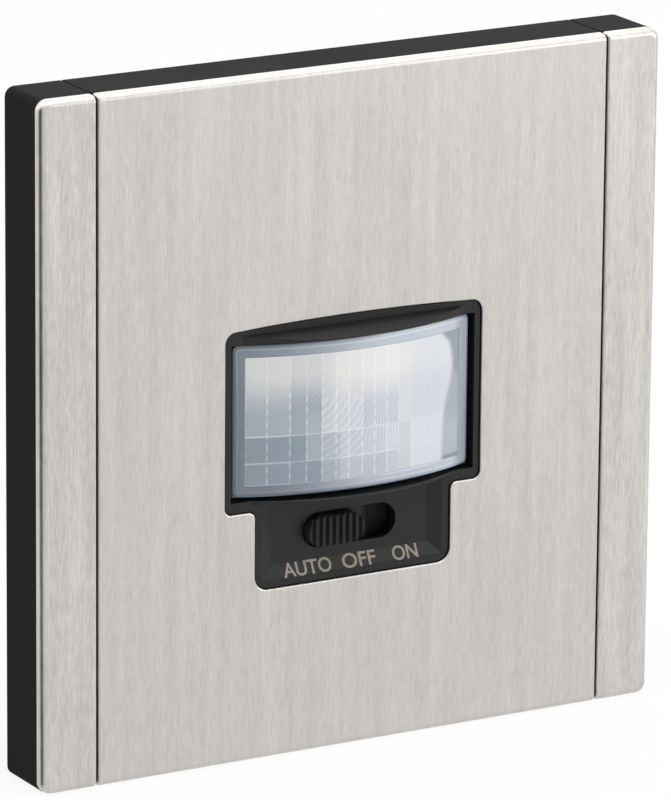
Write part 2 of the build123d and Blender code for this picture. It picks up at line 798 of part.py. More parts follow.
# Switch knob: a ribbed cap on a skirt plate, with two prongs that hold the switch's post
knob_place = (knob_rest_x, -slot_centre)
with BuildPart() as switch_knob:
    with BuildSketch(room_plane(skirt_back)):
        with Locations(knob_place):
            SlotOverall(knob_length, knob_width)
    extrude(amount=knob_front - skirt_back)
    fillet(switch_knob.faces().sort_by(Axis.Y)[0].edges(), knob_edge)
    with BuildSketch(Plane.XY.offset(-slot_centre - knob_width)) as ribs:
        with Locations((knob_rest_x, -(knob_front + skirt_back) / 2)):
            Rectangle(knob_length + 2 * overrun, knob_front - skirt_back)
        with Locations((knob_rest_x, -knob_front)):
            with GridLocations(knob_groove_pitch, 0, knob_groove_count, 1):
                SlotOverall(2 * knob_groove_depth, knob_groove_width, rotation=90, mode=Mode.SUBTRACT)
        fillet(ribs.vertices().group_by(Axis.Y)[0], knob_rib_edge)
    extrude(amount=2 * knob_width, mode=Mode.INTERSECT)
    with BuildSketch(Plane.XY.offset(-slot_centre - skirt_height / 2)):
        with BuildLine():
            end_front = -(skirt_front - skirt_fall)
            skirt_half = skirt_length / 2
            ramp_foot = knob_length / 2 + skirt_ramp
            Polyline(
                (knob_rest_x - ramp_foot, end_front),
                (knob_rest_x - skirt_half, end_front),
                (knob_rest_x - skirt_half, -skirt_back),
                (knob_rest_x + skirt_half, -skirt_back),
                (knob_rest_x + skirt_half, end_front),
                (knob_rest_x + ramp_foot, end_front),
            )
            for end in (-1, 1):
                TangentArc(
                    (knob_rest_x + end * knob_length / 2, -skirt_front),
                    (knob_rest_x + end * ramp_foot, end_front),
                    tangent=(end, 0),
                )
            Line((knob_rest_x - knob_length / 2, -skirt_front), (knob_rest_x + knob_length / 2, -skirt_front))
        make_face()
    extrude(amount=skirt_height)
    prong_reach = skirt_back - slider_post_front + slider_post_height - part_gap
    with BuildSketch(room_plane(skirt_back - prong_reach)):
        with Locations(knob_place):
            with GridLocations(slider_post + 2 * running_gap + prong_thickness, 0, 2, 1):
                Rectangle(prong_thickness, prong_width)
    extrude(amount=prong_reach)
finish(switch_knob.part, "switch_knob")

# Slide switch body: the small box on the front board, with its slot and inner channel
slider_base_back = slider_front - slider_wall - running_gap - slider_base_thickness
with BuildPart() as slide_switch_body:
    with BuildSketch(room_plane(sensor_board_height + seat_gap)):
        with Locations((0, -slot_centre)):
            Rectangle(slider_body_length, slider_body_width)
    extrude(amount=slider_body_height)
    with BuildSketch(room_plane(slider_base_back - running_gap)):
        with Locations((0, -slot_centre)):
            Rectangle(
                slider_base_length + knob_travel + 2 * part_gap, slider_body_width - 2 * slider_wall
            )
    extrude(amount=slider_base_thickness + 2 * running_gap, mode=Mode.SUBTRACT)
    with BuildSketch(room_plane(slider_base_back)):
        with Locations((0, -slot_centre)):
            Rectangle(slider_post + knob_travel + 2 * part_gap, slider_post_width + 2 * running_gap)
    extrude(amount=slider_front + overrun - slider_base_back, mode=Mode.SUBTRACT)
finish(slide_switch_body.part, "slide_switch_body")

# Slide switch actuator: a flat base in the channel with the post that the knob holds
with BuildPart() as slide_switch_actuator:
    with BuildSketch(room_plane(slider_base_back)):
        with Locations(knob_place):
            Rectangle(slider_base_length, slider_body_width - 2 * slider_wall - 2 * running_gap)
    extrude(amount=slider_base_thickness)
    with BuildSketch(room_plane(slider_base_back)):
        with Locations(knob_place):
            Rectangle(slider_post, slider_post_width)
    extrude(amount=slider_post_front - slider_base_back)
finish(slide_switch_actuator.part, "slide_switch_actuator")

# Rear housing: the tub in the wall box, with screw columns, board ledges and posts
with BuildPart() as rear_housing:
    with BuildSketch(room_plane(-housing_depth)):
        RectangleRounded(housing_width, housing_height, housing_corner)
    extrude(amount=housing_depth + frame_thickness)
    chamfer(rear_housing.faces().sort_by(Axis.Y)[-1].edges(), housing_edge)
    with BuildSketch(room_plane(housing_floor)):
        RectangleRounded(housing_inner_width, housing_inner_height, housing_corner - housing_wall)
    extrude(amount=housing_depth + frame_thickness, mode=Mode.SUBTRACT)
    with BuildSketch(room_plane(housing_floor)):
        with GridLocations(2 * post_x, 2 * post_z, 2, 2):
            Circle(post_radius)
    extrude(amount=frame_thickness - housing_floor)
    with BuildSketch(room_plane(housing_floor)):
        with GridLocations(housing_inner_width - ledge_depth, 2 * ledge_z, 2, 2):
            Rectangle(ledge_depth, ledge_width)
    extrude(amount=sensor_board_back - seat_gap - housing_floor)
    with BuildSketch(room_plane(housing_floor)):
        with Locations(
            (-floor_post_x, floor_post_high_z),
            (floor_post_x, floor_post_high_z),
            (-floor_post_x, -floor_post_low_z),
            (floor_post_x, -floor_post_low_z),
        ):
            Circle(floor_post_radius)
    extrude(amount=power_board_back - seat_gap - housing_floor)
    with BuildSketch(room_plane(module_top - screw_length)):
        with GridLocations(2 * post_x, 2 * post_z, 2, 2):
            Circle(screw_radius + shaft_gap)
    extrude(amount=screw_length, mode=Mode.SUBTRACT)
    with BuildSketch(room_plane(-housing_depth - overrun)):
        with Locations((0, (block_low + block_high + part_gap - overrun) / 2)):
            Rectangle(2 * (block_half_width + part_gap), block_high + part_gap - block_low + overrun)
    extrude(amount=block_front + part_gap + housing_depth + overrun, mode=Mode.SUBTRACT)
finish(rear_housing.part, "rear_housing")


def screw_group(places, length):
    """Small pan-head screws through the module front, with a driver slot in each head."""
    with BuildPart() as screws:
        with BuildSketch(room_plane(module_top + seat_gap - length)):
            with Locations(places):
                Circle(screw_radius)
        extrude(amount=length)
        with BuildSketch(room_plane(module_top + seat_gap)):
            with Locations(places):
                Circle(head_radius)
        extrude(amount=head_height)
        chamfer(screws.faces().filter_by(Axis.Y).group_by(Axis.Y)[0].edges(), head_height / 2)
        with BuildSketch(room_plane(module_top + seat_gap + head_height / 2)):
            with Locations(places):
                Rectangle(2 * head_radius, head_slot)
        extrude(amount=head_height, mode=Mode.SUBTRACT)
    return screws.part


def four_places(place_x, place_z):
    """The four corners of a rectangle about the centre."""
    return [(x, z) for x in (-place_x, place_x) for z in (-place_z, place_z)]


finish(screw_group(four_places(frame_screw_x, frame_screw_z), frame_screw_length - part_gap), "frame_screws")
finish(screw_group(four_places(post_x, post_z), screw_length - part_gap), "housing_screws")

# Sensor board: the front circuit board, cut round the four screw columns
notch_x = post_x - post_radius - part_gap
notch_z = post_z - post_radius - part_gap
with BuildPart() as sensor_board:
    with BuildSketch(room_plane(sensor_board_back)):
        Rectangle(2 * board_half_width, 2 * board_half_height)
        with GridLocations(notch_x + board_half_width, notch_z + board_half_height, 2, 2):
            Rectangle(board_half_width - notch_x, board_half_height - notch_z, mode=Mode.SUBTRACT)
    extrude(amount=board_thickness)
    inner_corners = sensor_board.edges().filter_by(Axis.Y).group_by(lambda edge: abs(edge.center().X))[0]
    fillet(inner_corners, board_notch_corner)
finish(sensor_board.part, "sensor_board")

# Pyroelectric sensor: a metal can with a flange and a small window
with BuildPart() as pyro_sensor:
    with BuildSketch(room_plane(sensor_board_height + seat_gap)):
        Circle(pyro_flange_radius)
    extrude(amount=pyro_flange_thickness)
    with BuildSketch(room_plane(sensor_board_height + seat_gap)):
        Circle(pyro_radius)
    extrude(amount=pyro_height)
    chamfer(pyro_sensor.faces().sort_by(Axis.Y)[0].edges(), pyro_edge)
    with BuildSketch(room_plane(sensor_board_height + seat_gap + pyro_height - pyro_window_depth)):
        Rectangle(pyro_window_width, pyro_window_height)
    extrude(amount=pyro_window_depth, mode=Mode.SUBTRACT)
finish(pyro_sensor.part, "pyro_sensor")

# Light sensor: a low round photocell
with BuildPart() as light_sensor:
    with BuildSketch(room_plane(sensor_board_height + seat_gap)):
        with Locations((small_part_x, small_part_z)):
            Circle(light_sensor_radius)
    extrude(amount=light_sensor_height)
    chamfer(light_sensor.faces().sort_by(Axis.Y)[0].edges(), light_sensor_edge)
finish(light_sensor.part, "light_sensor")

# Status lamp: a small domed lamp on a collar
with BuildPart() as status_lamp:
    with BuildSketch(room_plane(sensor_board_height + seat_gap)):
        with Locations((-small_part_x, small_part_z)):
            Circle(lamp_radius + lamp_collar)
    extrude(amount=lamp_collar)
    with BuildSketch(room_plane(sensor_board_height + seat_gap)):
        with Locations((-small_part_x, small_part_z)):
            Circle(lamp_radius)
    extrude(amount=lamp_height)
    chamfer(status_lamp.faces().sort_by(Axis.Y)[0].edges(), lamp_dome)
finish(status_lamp.part, "status_lamp")

# Controller chip: a small flat package with legs on two sides
with BuildPart() as controller_chip:
    with BuildSketch(room_plane(sensor_board_height + seat_gap + chip_leg)):
        with Locations((-chip_x, chip_z)):
            Rectangle(chip_length, chip_width)
    extrude(amount=chip_height)
    with BuildSketch(room_plane(sensor_board_height + seat_gap)):
        with Locations((-chip_x, chip_z)):
            with GridLocations(chip_leg_pitch, chip_width + chip_leg_reach, chip_leg_count, 2):
                Rectangle(chip_leg, chip_leg_reach)
    extrude(amount=chip_leg + chip_height / 2)
finish(controller_chip.part, "controller_chip")

# Trimmers: a square body with a round well, and a rotor with a screwdriver slot
trimmer_top = sensor_board_height + seat_gap + trimmer_height
well_floor = trimmer_top - trimmer_well_depth
for side, trimmer_name in ((-1, "time"), (1, "lux")):
    trimmer_place = (side * trimmer_x, -trimmer_z)
    with BuildPart() as trimmer_body:
        with BuildSketch(room_plane(sensor_board_height + seat_gap)):
            with Locations(trimmer_place):
                Rectangle(trimmer_size, trimmer_size)
        extrude(amount=trimmer_height)
        with BuildSketch(room_plane(well_floor)):
            with Locations(trimmer_place):
                Circle(trimmer_rotor_radius + shaft_gap)
        extrude(amount=trimmer_well_depth, mode=Mode.SUBTRACT)
        with BuildSketch(room_plane(well_floor - trimmer_hub_length - running_gap)):
            with Locations(trimmer_place):
                Circle(trimmer_hub_radius + shaft_gap)
        extrude(amount=trimmer_height, mode=Mode.SUBTRACT)
    finish(trimmer_body.part, f"{trimmer_name}_trimmer_body")

    with BuildPart() as trimmer_rotor:
        with BuildSketch(room_plane(well_floor + running_gap)):
            with Locations(trimmer_place):
                Circle(trimmer_rotor_radius)
        extrude(amount=trimmer_rotor_height)
        with BuildSketch(room_plane(well_floor + running_gap - trimmer_hub_length)):
            with Locations(trimmer_place):
                Circle(trimmer_hub_radius)
        extrude(amount=trimmer_hub_length)
        slot_floor = well_floor + running_gap + trimmer_rotor_height - trimmer_slot_depth
        with BuildSketch(room_plane(slot_floor)):
            with Locations(trimmer_place):
                Rectangle(2 * trimmer_rotor_radius, trimmer_slot_width)
                Rectangle(trimmer_slot_width, trimmer_rotor_radius)
        extrude(amount=trimmer_slot_depth, mode=Mode.SUBTRACT)
    finish(trimmer_rotor.part, f"{trimmer_name}_trimmer_rotor")

# Power board: the rear circuit board on its four posts, above the terminals
power_board_high = board_half_height
with BuildPart() as power_board:
    with BuildSketch(room_plane(power_board_back)):
        with Locations((0, (power_board_high - power_board_low) / 2)):
            Rectangle(2 * power_board_half_width, power_board_high + power_board_low)
        with Locations(
            (-(notch_x + board_half_width) / 2, (notch_z + board_half_height) / 2),
            ((notch_x + board_half_width) / 2, (notch_z + board_half_height) / 2),
        ):
            Rectangle(board_half_width - notch_x, board_half_height - notch_z, mode=Mode.SUBTRACT)
    extrude(amount=board_thickness)
finish(power_board.part, "power_board")

# Relay: the tall box that switches the lamp circuit
with BuildPart() as relay:
    with BuildSketch(room_plane(component_base)):
        with Locations((-relay_x, relay_z)):
            Rectangle(relay_width, relay_length)
    extrude(amount=relay_height)
    chamfer(relay.faces().sort_by(Axis.Y)[0].edges(), component_edge)
finish(relay.part, "relay")

# Film capacitor: the box in the dropper supply
with BuildPart() as film_capacitor:
    with BuildSketch(room_plane(component_base)):
        with Locations((film_x, film_z)):
            Rectangle(film_width, film_thickness)
    extrude(amount=film_height)
    chamfer(film_capacitor.faces().sort_by(Axis.Y)[0].edges(), component_edge)
finish(film_capacitor.part, "film_capacitor")

# Bulk capacitor: a standing can with a crimped groove near its base
with BuildPart() as bulk_capacitor:
    with BuildSketch(room_plane(component_base)):
        with Locations((bulk_x, bulk_z)):
            Circle(bulk_radius)
    extrude(amount=bulk_height)
    chamfer(bulk_capacitor.faces().sort_by(Axis.Y)[0].edges(), component_edge)
    with BuildSketch(room_plane(component_base + bulk_groove_height)):
        with Locations((bulk_x, bulk_z)):
            Circle(bulk_radius + overrun)
            Circle(bulk_radius - component_edge, mode=Mode.SUBTRACT)
    extrude(amount=component_edge, mode=Mode.SUBTRACT)
finish(bulk_capacitor.part, "bulk_capacitor")

# Varistor: a disc standing on edge on a short pair of legs
with BuildPart() as varistor:
    with BuildSketch(Plane.XY.offset(-varistor_z - varistor_thickness / 2)):
        with Locations((-varistor_x, -(component_base + varistor_radius + header_pin))):
            Circle(varistor_radius)
    extrude(amount=varistor_thickness)
    with BuildSketch(room_plane(component_base)):
        with Locations((-varistor_x, -varistor_z)):
            with GridLocations(varistor_radius, 0, 2, 1):
                Rectangle(header_pin, header_pin)
    extrude(amount=varistor_radius)
finish(varistor.part, "varistor")

# Choke: a drum core with its winding between two flanges
with BuildPart() as choke:
    with BuildSketch(room_plane(component_base)):
        with Locations((choke_x, choke_z)):
            Circle(choke_radius)
    extrude(amount=choke_height)
    with BuildSketch(room_plane(component_base + choke_flange)):
        with Locations((choke_x, choke_z)):
            Circle(choke_radius + overrun)
            Circle(choke_core_radius, mode=Mode.SUBTRACT)
    extrude(amount=choke_height - 2 * choke_flange, mode=Mode.SUBTRACT)
finish(choke.part, "choke")

# Fuse: a small standing cylinder
with BuildPart() as fuse:
    with BuildSketch(room_plane(component_base)):
        with Locations((fuse_x, -fuse_z)):
            Circle(fuse_radius)
    extrude(amount=fuse_height)
    chamfer(fuse.faces().sort_by(Axis.Y)[0].edges(), component_edge)
finish(fuse.part, "fuse")

# Board header: a row of square pins that joins the two boards
with BuildPart() as board_header:
    with BuildSketch(room_plane(component_base)):
        with Locations((0, header_z)):
            Rectangle(header_count * header_pitch, header_body)
    extrude(amount=header_body)
    with BuildSketch(room_plane(component_base)):
        with Locations((0, header_z)):
            with GridLocations(header_pitch, 0, header_count, 1):
                Rectangle(header_pin, header_pin)
    extrude(amount=sensor_board_back - seat_gap - component_base)
finish(board_header.part, "board_header")

# Terminal block: three cells, each open below for its wire and behind for its screw
with BuildPart() as terminal_block:
    with BuildSketch(room_plane(-housing_depth)):
        with Locations((0, (block_low + block_high) / 2)):
            Rectangle(2 * block_half_width, block_high - block_low)
    extrude(amount=block_front + housing_depth)
    with BuildSketch(room_plane(seat_front)):
        with GridLocations(terminal_pitch, 0, terminal_count, 1):
            with Locations((0, cage_centre_z)):
                Rectangle(cavity_width, cavity_depth)
    extrude(amount=cage_front + cage_gap - seat_front, mode=Mode.SUBTRACT)
    with BuildSketch(room_plane(-housing_depth)):
        with GridLocations(terminal_pitch, 0, terminal_count, 1):
            with Locations((0, cage_centre_z)):
                Circle(terminal_head_radius + part_gap)
    extrude(amount=head_bottom + running_gap + housing_depth, mode=Mode.SUBTRACT)
    with BuildSketch(room_plane(-housing_depth)):
        with GridLocations(terminal_pitch, 0, terminal_count, 1):
            with Locations((0, cage_centre_z)):
                Circle(terminal_screw_radius + shaft_gap)
    extrude(amount=seat_front + housing_depth + overrun, mode=Mode.SUBTRACT)
    with BuildSketch(Plane.XY.offset(block_low - overrun)):
        with GridLocations(terminal_pitch, 0, terminal_count, 1):
            with Locations((0, -(contact_front + wire_room / 2))):
                Rectangle(wire_port, wire_room)
    extrude(amount=cavity_low - block_low + 2 * overrun, mode=Mode.SUBTRACT)
    with BuildSketch(Plane.XY.offset(cage_centre_z)):
        with GridLocations(terminal_pitch, 0, terminal_count, 1):
            with Locations((0, -(contact_front + contact_back) / 2)):
                Rectangle(contact_width + 2 * running_gap, contact_thickness + 2 * running_gap)
    extrude(amount=block_high - cage_centre_z + overrun, mode=Mode.SUBTRACT)
finish(terminal_block.part, "terminal_block")

# Terminal contacts: three straps from the cells to the power board
contact_low = cavity_low + part_gap
contact_high = 2 * contact_foot - power_board_low
with BuildPart() as terminal_contacts:
    with BuildSketch(room_plane(contact_back)):
        with GridLocations(terminal_pitch, 0, terminal_count, 1):
            with Locations((0, (contact_low + contact_high) / 2)):
                Rectangle(contact_width, contact_high - contact_low)
    extrude(amount=contact_thickness)
    with BuildSketch(room_plane(component_base)):
        with GridLocations(terminal_pitch, 0, terminal_count, 1):
            with Locations((0, contact_high - contact_foot / 2)):
                Rectangle(contact_width, contact_foot)
    extrude(amount=contact_front - component_base)
finish(terminal_contacts.part, "terminal_contacts")

# Terminal screws and the clamping cages that rise on them
cage_height = cage_front - cage_rear
for place, terminal_name in zip(terminal_places, terminal_names):
    with BuildPart() as terminal_screw:
        with BuildSketch(room_plane(head_top)):
            with Locations((place, cage_centre_z)):
                Circle(terminal_head_radius)
        extrude(amount=terminal_head_height)
        with BuildSketch(room_plane(head_top)):
            with Locations((place, cage_centre_z)):
                Circle(terminal_screw_radius)
        extrude(amount=contact_back - running_gap - head_top)
        with BuildSketch(room_plane(head_top)):
            with Locations((place, cage_centre_z)):
                Rectangle(2 * terminal_head_radius, terminal_head_slot)
        extrude(amount=terminal_head_height / 2, mode=Mode.SUBTRACT)
    finish(terminal_screw.part, f"terminal_screw_{terminal_name}")

    with BuildPart() as terminal_cage:
        with BuildSketch(room_plane(cage_rear)):
            with Locations((place, cage_centre_z)):
                Rectangle(cage_width, cage_depth)
        extrude(amount=cage_height)
        with BuildSketch(room_plane(cage_rear + cage_wall)):
            with Locations((place, cage_centre_z)):
                Rectangle(cage_width - 2 * cage_wall, cage_depth + overrun)
        extrude(amount=cage_height - 2 * cage_wall, mode=Mode.SUBTRACT)
        with BuildSketch(room_plane(cage_rear)):
            with Locations((place, cage_centre_z)):
                Circle(terminal_screw_radius + shaft_gap)
        extrude(amount=cage_wall, mode=Mode.SUBTRACT)
    finish(terminal_cage.part, f"terminal_cage_{terminal_name}")
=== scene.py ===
# %% [markdown]
# # Motion sensor light switch
# A square wall switch: a sheet of brushed stainless steel between two side strips, a bowed
# milky lens in a black bezel, and a ribbed knob that slides through AUTO, OFF and ON.
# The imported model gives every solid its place, so the lesson is about finishes, and about the
# few details that are too fine for the solids: the lens's moulded facets, its rounded border,
# and the print.

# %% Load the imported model
import math

import bpy
import numpy as np
from mathutils import Matrix, Vector


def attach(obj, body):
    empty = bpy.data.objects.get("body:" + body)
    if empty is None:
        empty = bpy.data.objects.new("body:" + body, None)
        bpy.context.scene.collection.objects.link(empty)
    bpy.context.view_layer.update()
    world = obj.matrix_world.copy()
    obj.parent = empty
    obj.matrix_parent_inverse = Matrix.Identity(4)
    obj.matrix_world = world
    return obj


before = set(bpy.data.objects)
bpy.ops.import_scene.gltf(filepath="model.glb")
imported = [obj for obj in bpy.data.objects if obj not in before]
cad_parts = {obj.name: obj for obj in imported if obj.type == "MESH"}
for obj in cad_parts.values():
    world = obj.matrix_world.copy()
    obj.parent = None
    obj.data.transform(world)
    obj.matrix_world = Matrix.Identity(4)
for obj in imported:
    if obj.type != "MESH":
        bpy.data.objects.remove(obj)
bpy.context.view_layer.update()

print("solids in the frame:", len(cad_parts))

# %% [markdown]
# ## Millimetres and colours
# Blender works in metres and in linear light. The sizes below are written in millimetres, as
# a maker gives them, and the colours as the hex values that a screen shows. A material is a
# tree of nodes, and one small function adds a node with its settings and its links.

# %% Millimetres and colours
mm = 0.001


def linear(hex_colour):
    """sRGB to linear: c / 12.92 up to 0.04045, and ((c + 0.055) / 1.055) to the power 2.4 above."""
    srgb = np.array([int(hex_colour[place:place + 2], 16) for place in (1, 3, 5)]) / 255
    light = np.where(srgb <= 0.04045, srgb / 12.92, ((srgb + 0.055) / 1.055) ** 2.4)
    return (*light.tolist(), 1.0)


def add_node(tree, kind, inputs=None, **settings):
    """Adds a node, sets its properties, and fills its inputs with values or with links."""
    node = tree.nodes.new(kind)
    for name, value in settings.items():
        setattr(node, name, value)
    for socket, value in (inputs or {}).items():
        if isinstance(value, bpy.types.NodeSocket):
            tree.links.new(value, node.inputs[socket])
        else:
            node.inputs[socket].default_value = value
    return node


def new_material(name):
    """An empty material, the tree to build in, and the socket that takes its surface."""
    material = bpy.data.materials.new(name)
    material.use_nodes = True
    material.node_tree.nodes.clear()
    output = material.node_tree.nodes.new("ShaderNodeOutputMaterial")
    return material, material.node_tree, output.inputs["Surface"]


print("mid grey in linear light:", [round(part, 3) for part in linear("#808080")[:3]])

# %% [markdown]
# ## The camera
# The photograph was taken with a long lens, a little from the left and from above. The angles
# and the distance come from fitting the plate's edges, as an 86 mm square, to the photograph.
# The fit works in pixels, and a lens in millimetres is the focal length in pixels times the
# sensor's width over the picture's longer side.

# %% The camera
yaw, pitch, roll = math.radians(29.9114), math.radians(15.6923), math.radians(-0.5098)
focal_length_px, longer_side_px, sensor_mm = 7152.4, 800, 36
forward = Vector((math.sin(yaw) * math.cos(pitch), math.cos(yaw) * math.cos(pitch), -math.sin(pitch)))
level = Vector((math.cos(yaw), -math.sin(yaw), 0))
down = forward.cross(level)
right = level * math.cos(roll) + down * math.sin(roll)
down = down * math.cos(roll) - level * math.sin(roll)
camera_data = bpy.data.cameras.new("photo_camera")
camera_data.sensor_fit = "AUTO"
camera_data.sensor_width = sensor_mm
camera_data.lens = focal_length_px * sensor_mm / longer_side_px
camera_data.clip_start = 0.01
camera_data.clip_end = 20
camera = bpy.data.objects.new("photo_camera", camera_data)
place = Vector((-0.420539, -0.735870, 0.236824))
camera.matrix_world = Matrix((right, -down, -forward)).transposed().to_4x4()
camera.matrix_world.translation = place
bpy.context.scene.collection.objects.link(camera)
bpy.context.scene.camera = camera
bpy.context.scene.view_settings.view_transform = "Standard"
print("camera distance in mm:", round(place.length / mm), "lens:", round(camera_data.lens))

# %% [markdown]
# ## Brushed stainless steel
# The skins are sheet steel with a vertical grain. The belt that makes it leaves scratches a few
# hundredths of a millimetre apart and many millimetres long. That is finer than a pixel here,
# so they are drawn a quarter of a millimetre apart, with broader streaks under them. A picture
# of real steel could show both, but a noise that is squeezed across the grain and stretched
# along it needs no file and never repeats, and it shifts the roughness too. To the eye the
# metal is a soft mirror of the room with a faint grain, so the contrast stays low. The side
# strips show a stronger grain than the cover.

# %% Brushed stainless steel
def brushed_steel(name, contrast):
    """Two stretched noises, fine and broad, shift the colour, the roughness and the height."""
    scratch_gap, scratch_length, scratch_depth = 0.24 * mm, 2.0 * mm, 0.01 * mm
    streak_gap, streak_length = 1.3 * mm, 24 * mm
    steel_colour = np.array(linear("#c4c1bd")[:3])
    material, tree, surface = new_material(name)
    place_on_part = add_node(tree, "ShaderNodeTexCoord").outputs["Object"]
    fine = add_node(tree, "ShaderNodeMapping", {
        "Vector": place_on_part, "Scale": (1 / scratch_gap, 1 / scratch_length, 1 / scratch_length)})
    broad = add_node(tree, "ShaderNodeMapping", {
        "Vector": place_on_part, "Scale": (1 / streak_gap, 1 / streak_length, 1 / streak_length)})
    scratches = add_node(tree, "ShaderNodeTexNoise", {
        "Vector": fine.outputs[0], "Scale": 1.0, "Detail": 3.0, "Roughness": 0.6})
    streaks = add_node(tree, "ShaderNodeTexNoise", {
        "Vector": broad.outputs[0], "Scale": 1.0, "Detail": 2.0})
    both = add_node(tree, "ShaderNodeMix", {
        "Factor": 0.35, "A": scratches.outputs["Fac"], "B": streaks.outputs["Fac"]}, data_type="FLOAT")
    shade = add_node(tree, "ShaderNodeValToRGB", {"Fac": both.outputs["Result"]})
    shade.color_ramp.elements[0].position = 0.32
    shade.color_ramp.elements[0].color = (*(steel_colour * (1 - contrast)).tolist(), 1)
    shade.color_ramp.elements[1].position = 0.68
    shade.color_ramp.elements[1].color = (*(steel_colour * (1 + contrast)).tolist(), 1)
    rough = add_node(tree, "ShaderNodeMapRange", {
        "Value": both.outputs["Result"], "From Min": 0.3, "From Max": 0.7,
        "To Min": 0.33, "To Max": 0.41})
    height = add_node(tree, "ShaderNodeBump", {
        "Height": scratches.outputs["Fac"], "Strength": 0.08, "Distance": scratch_depth})
    steel = add_node(tree, "ShaderNodeBsdfPrincipled", {
        "Base Color": shade.outputs["Color"], "Metallic": 1.0,
        "Roughness": rough.outputs["Result"], "Normal": height.outputs["Normal"]})
    tree.links.new(steel.outputs["BSDF"], surface)
    return material


cover_steel = brushed_steel("brushed_stainless_sheet", 0.11)
strip_steel = brushed_steel("coarsely_brushed_stainless_sheet", 0.17)
print("made", cover_steel.name, "and", strip_steel.name)

# %% [markdown]
# ## Moulded plastics
# Carriers, bezel, knob, housing and the small parts inside are moulded. A mould is eroded by
# sparks to a fine pebble of some hundredths of a millimetre, which turns a gloss into a soft
# sheen. The pebble could be part of the mesh, but it is so fine that a bump in the finish does
# the same. One function makes all the plastics, from a colour, a gloss, and the pebble's size.
# On the front the pebble is about twice as coarse as the real one, so that it shows at all.

# %% Moulded plastics
def moulded_plastic(name, colour, roughness, pebble_mm, depth_mm, gloss=0.5, change=0.06):
    """A fine noise lifts the surface, and a broad one shifts its colour and its roughness."""
    flow_mark, rough_change = 9 * mm, 0.03
    material, tree, surface = new_material(name)
    place_on_part = add_node(tree, "ShaderNodeTexCoord").outputs["Object"]
    pebble = add_node(tree, "ShaderNodeTexNoise", {
        "Vector": place_on_part, "Scale": 1 / (pebble_mm * mm), "Detail": 2.0})
    flow = add_node(tree, "ShaderNodeTexNoise", {
        "Vector": place_on_part, "Scale": 1 / flow_mark, "Detail": 3.0})
    base = np.array(linear(colour))
    shade = add_node(tree, "ShaderNodeValToRGB", {"Fac": flow.outputs["Fac"]})
    shade.color_ramp.elements[0].position = 0.3
    shade.color_ramp.elements[0].color = (*(base[:3] * (1 - change)).tolist(), 1)
    shade.color_ramp.elements[1].position = 0.7
    shade.color_ramp.elements[1].color = (*np.minimum(base[:3] * (1 + change), 1).tolist(), 1)
    rough = add_node(tree, "ShaderNodeMapRange", {
        "Value": flow.outputs["Fac"], "From Min": 0.3, "From Max": 0.7,
        "To Min": roughness - rough_change, "To Max": roughness + rough_change})
    height = add_node(tree, "ShaderNodeBump", {
        "Height": pebble.outputs["Fac"], "Strength": 0.35, "Distance": depth_mm * mm})
    plastic = add_node(tree, "ShaderNodeBsdfPrincipled", {
        "Base Color": shade.outputs["Color"], "Roughness": rough.outputs["Result"], "IOR": 1.5,
        "Specular IOR Level": gloss, "Normal": height.outputs["Normal"]})
    tree.links.new(plastic.outputs["BSDF"], surface)
    return material


# Carriers and frame: a dull black that takes almost no shine
shell_black = moulded_plastic("eroded_black_abs", "#1f1f21", 0.7, 0.09, 0.012, gloss=0.04)
# Bezel: black with a satin sheen, so that the brow and the dish show their slopes
bezel_black = moulded_plastic("satin_black_abs", "#18181a", 0.42, 0.07, 0.006, gloss=0.3)
# Knob: a little greyer and drier, as a slippery plastic is
knob_black = moulded_plastic("satin_black_pom", "#2a2a2b", 0.45, 0.06, 0.004, gloss=0.15)
# Housing: dark grey with a coarser pebble
housing_grey = moulded_plastic("moulded_grey_polyamide", "#3a3b3d", 0.55, 0.11, 0.012, gloss=0.3)
# Retainer and trimmer rotors: plain off-white
inner_white = moulded_plastic("moulded_white_abs", "#dcdbd6", 0.45, 0.1, 0.006)
print("made the moulded plastics")

# %% [markdown]
# ## Metals and parts of the boards
# Screws are zinc plated, cages stamped brass, contacts stamped copper. Tool marks leave their
# shine uneven. The parts on the boards are cast, dipped or pressed, and each gets its own
# colour and gloss.

# %% Metals and parts of the boards
def plated_metal(name, colour, roughness, mark_mm):
    """A plated or stamped metal: a noise of tool marks shifts its colour and its roughness."""
    darkest, brightest, rough_change = 0.82, 1.1, 0.08
    material, tree, surface = new_material(name)
    place_on_part = add_node(tree, "ShaderNodeTexCoord").outputs["Object"]
    marks = add_node(tree, "ShaderNodeTexNoise", {
        "Vector": place_on_part, "Scale": 1 / (mark_mm * mm), "Detail": 3.0})
    base = np.array(linear(colour))
    shade = add_node(tree, "ShaderNodeValToRGB", {"Fac": marks.outputs["Fac"]})
    shade.color_ramp.elements[0].color = (*(base[:3] * darkest).tolist(), 1)
    shade.color_ramp.elements[1].color = (*np.minimum(base[:3] * brightest, 1).tolist(), 1)
    rough = add_node(tree, "ShaderNodeMapRange", {
        "Value": marks.outputs["Fac"],
        "To Min": roughness - rough_change, "To Max": roughness + rough_change})
    metal = add_node(tree, "ShaderNodeBsdfPrincipled", {
        "Base Color": shade.outputs["Color"], "Metallic": 1.0, "Roughness": rough.outputs["Result"]})
    tree.links.new(metal.outputs["BSDF"], surface)
    return material


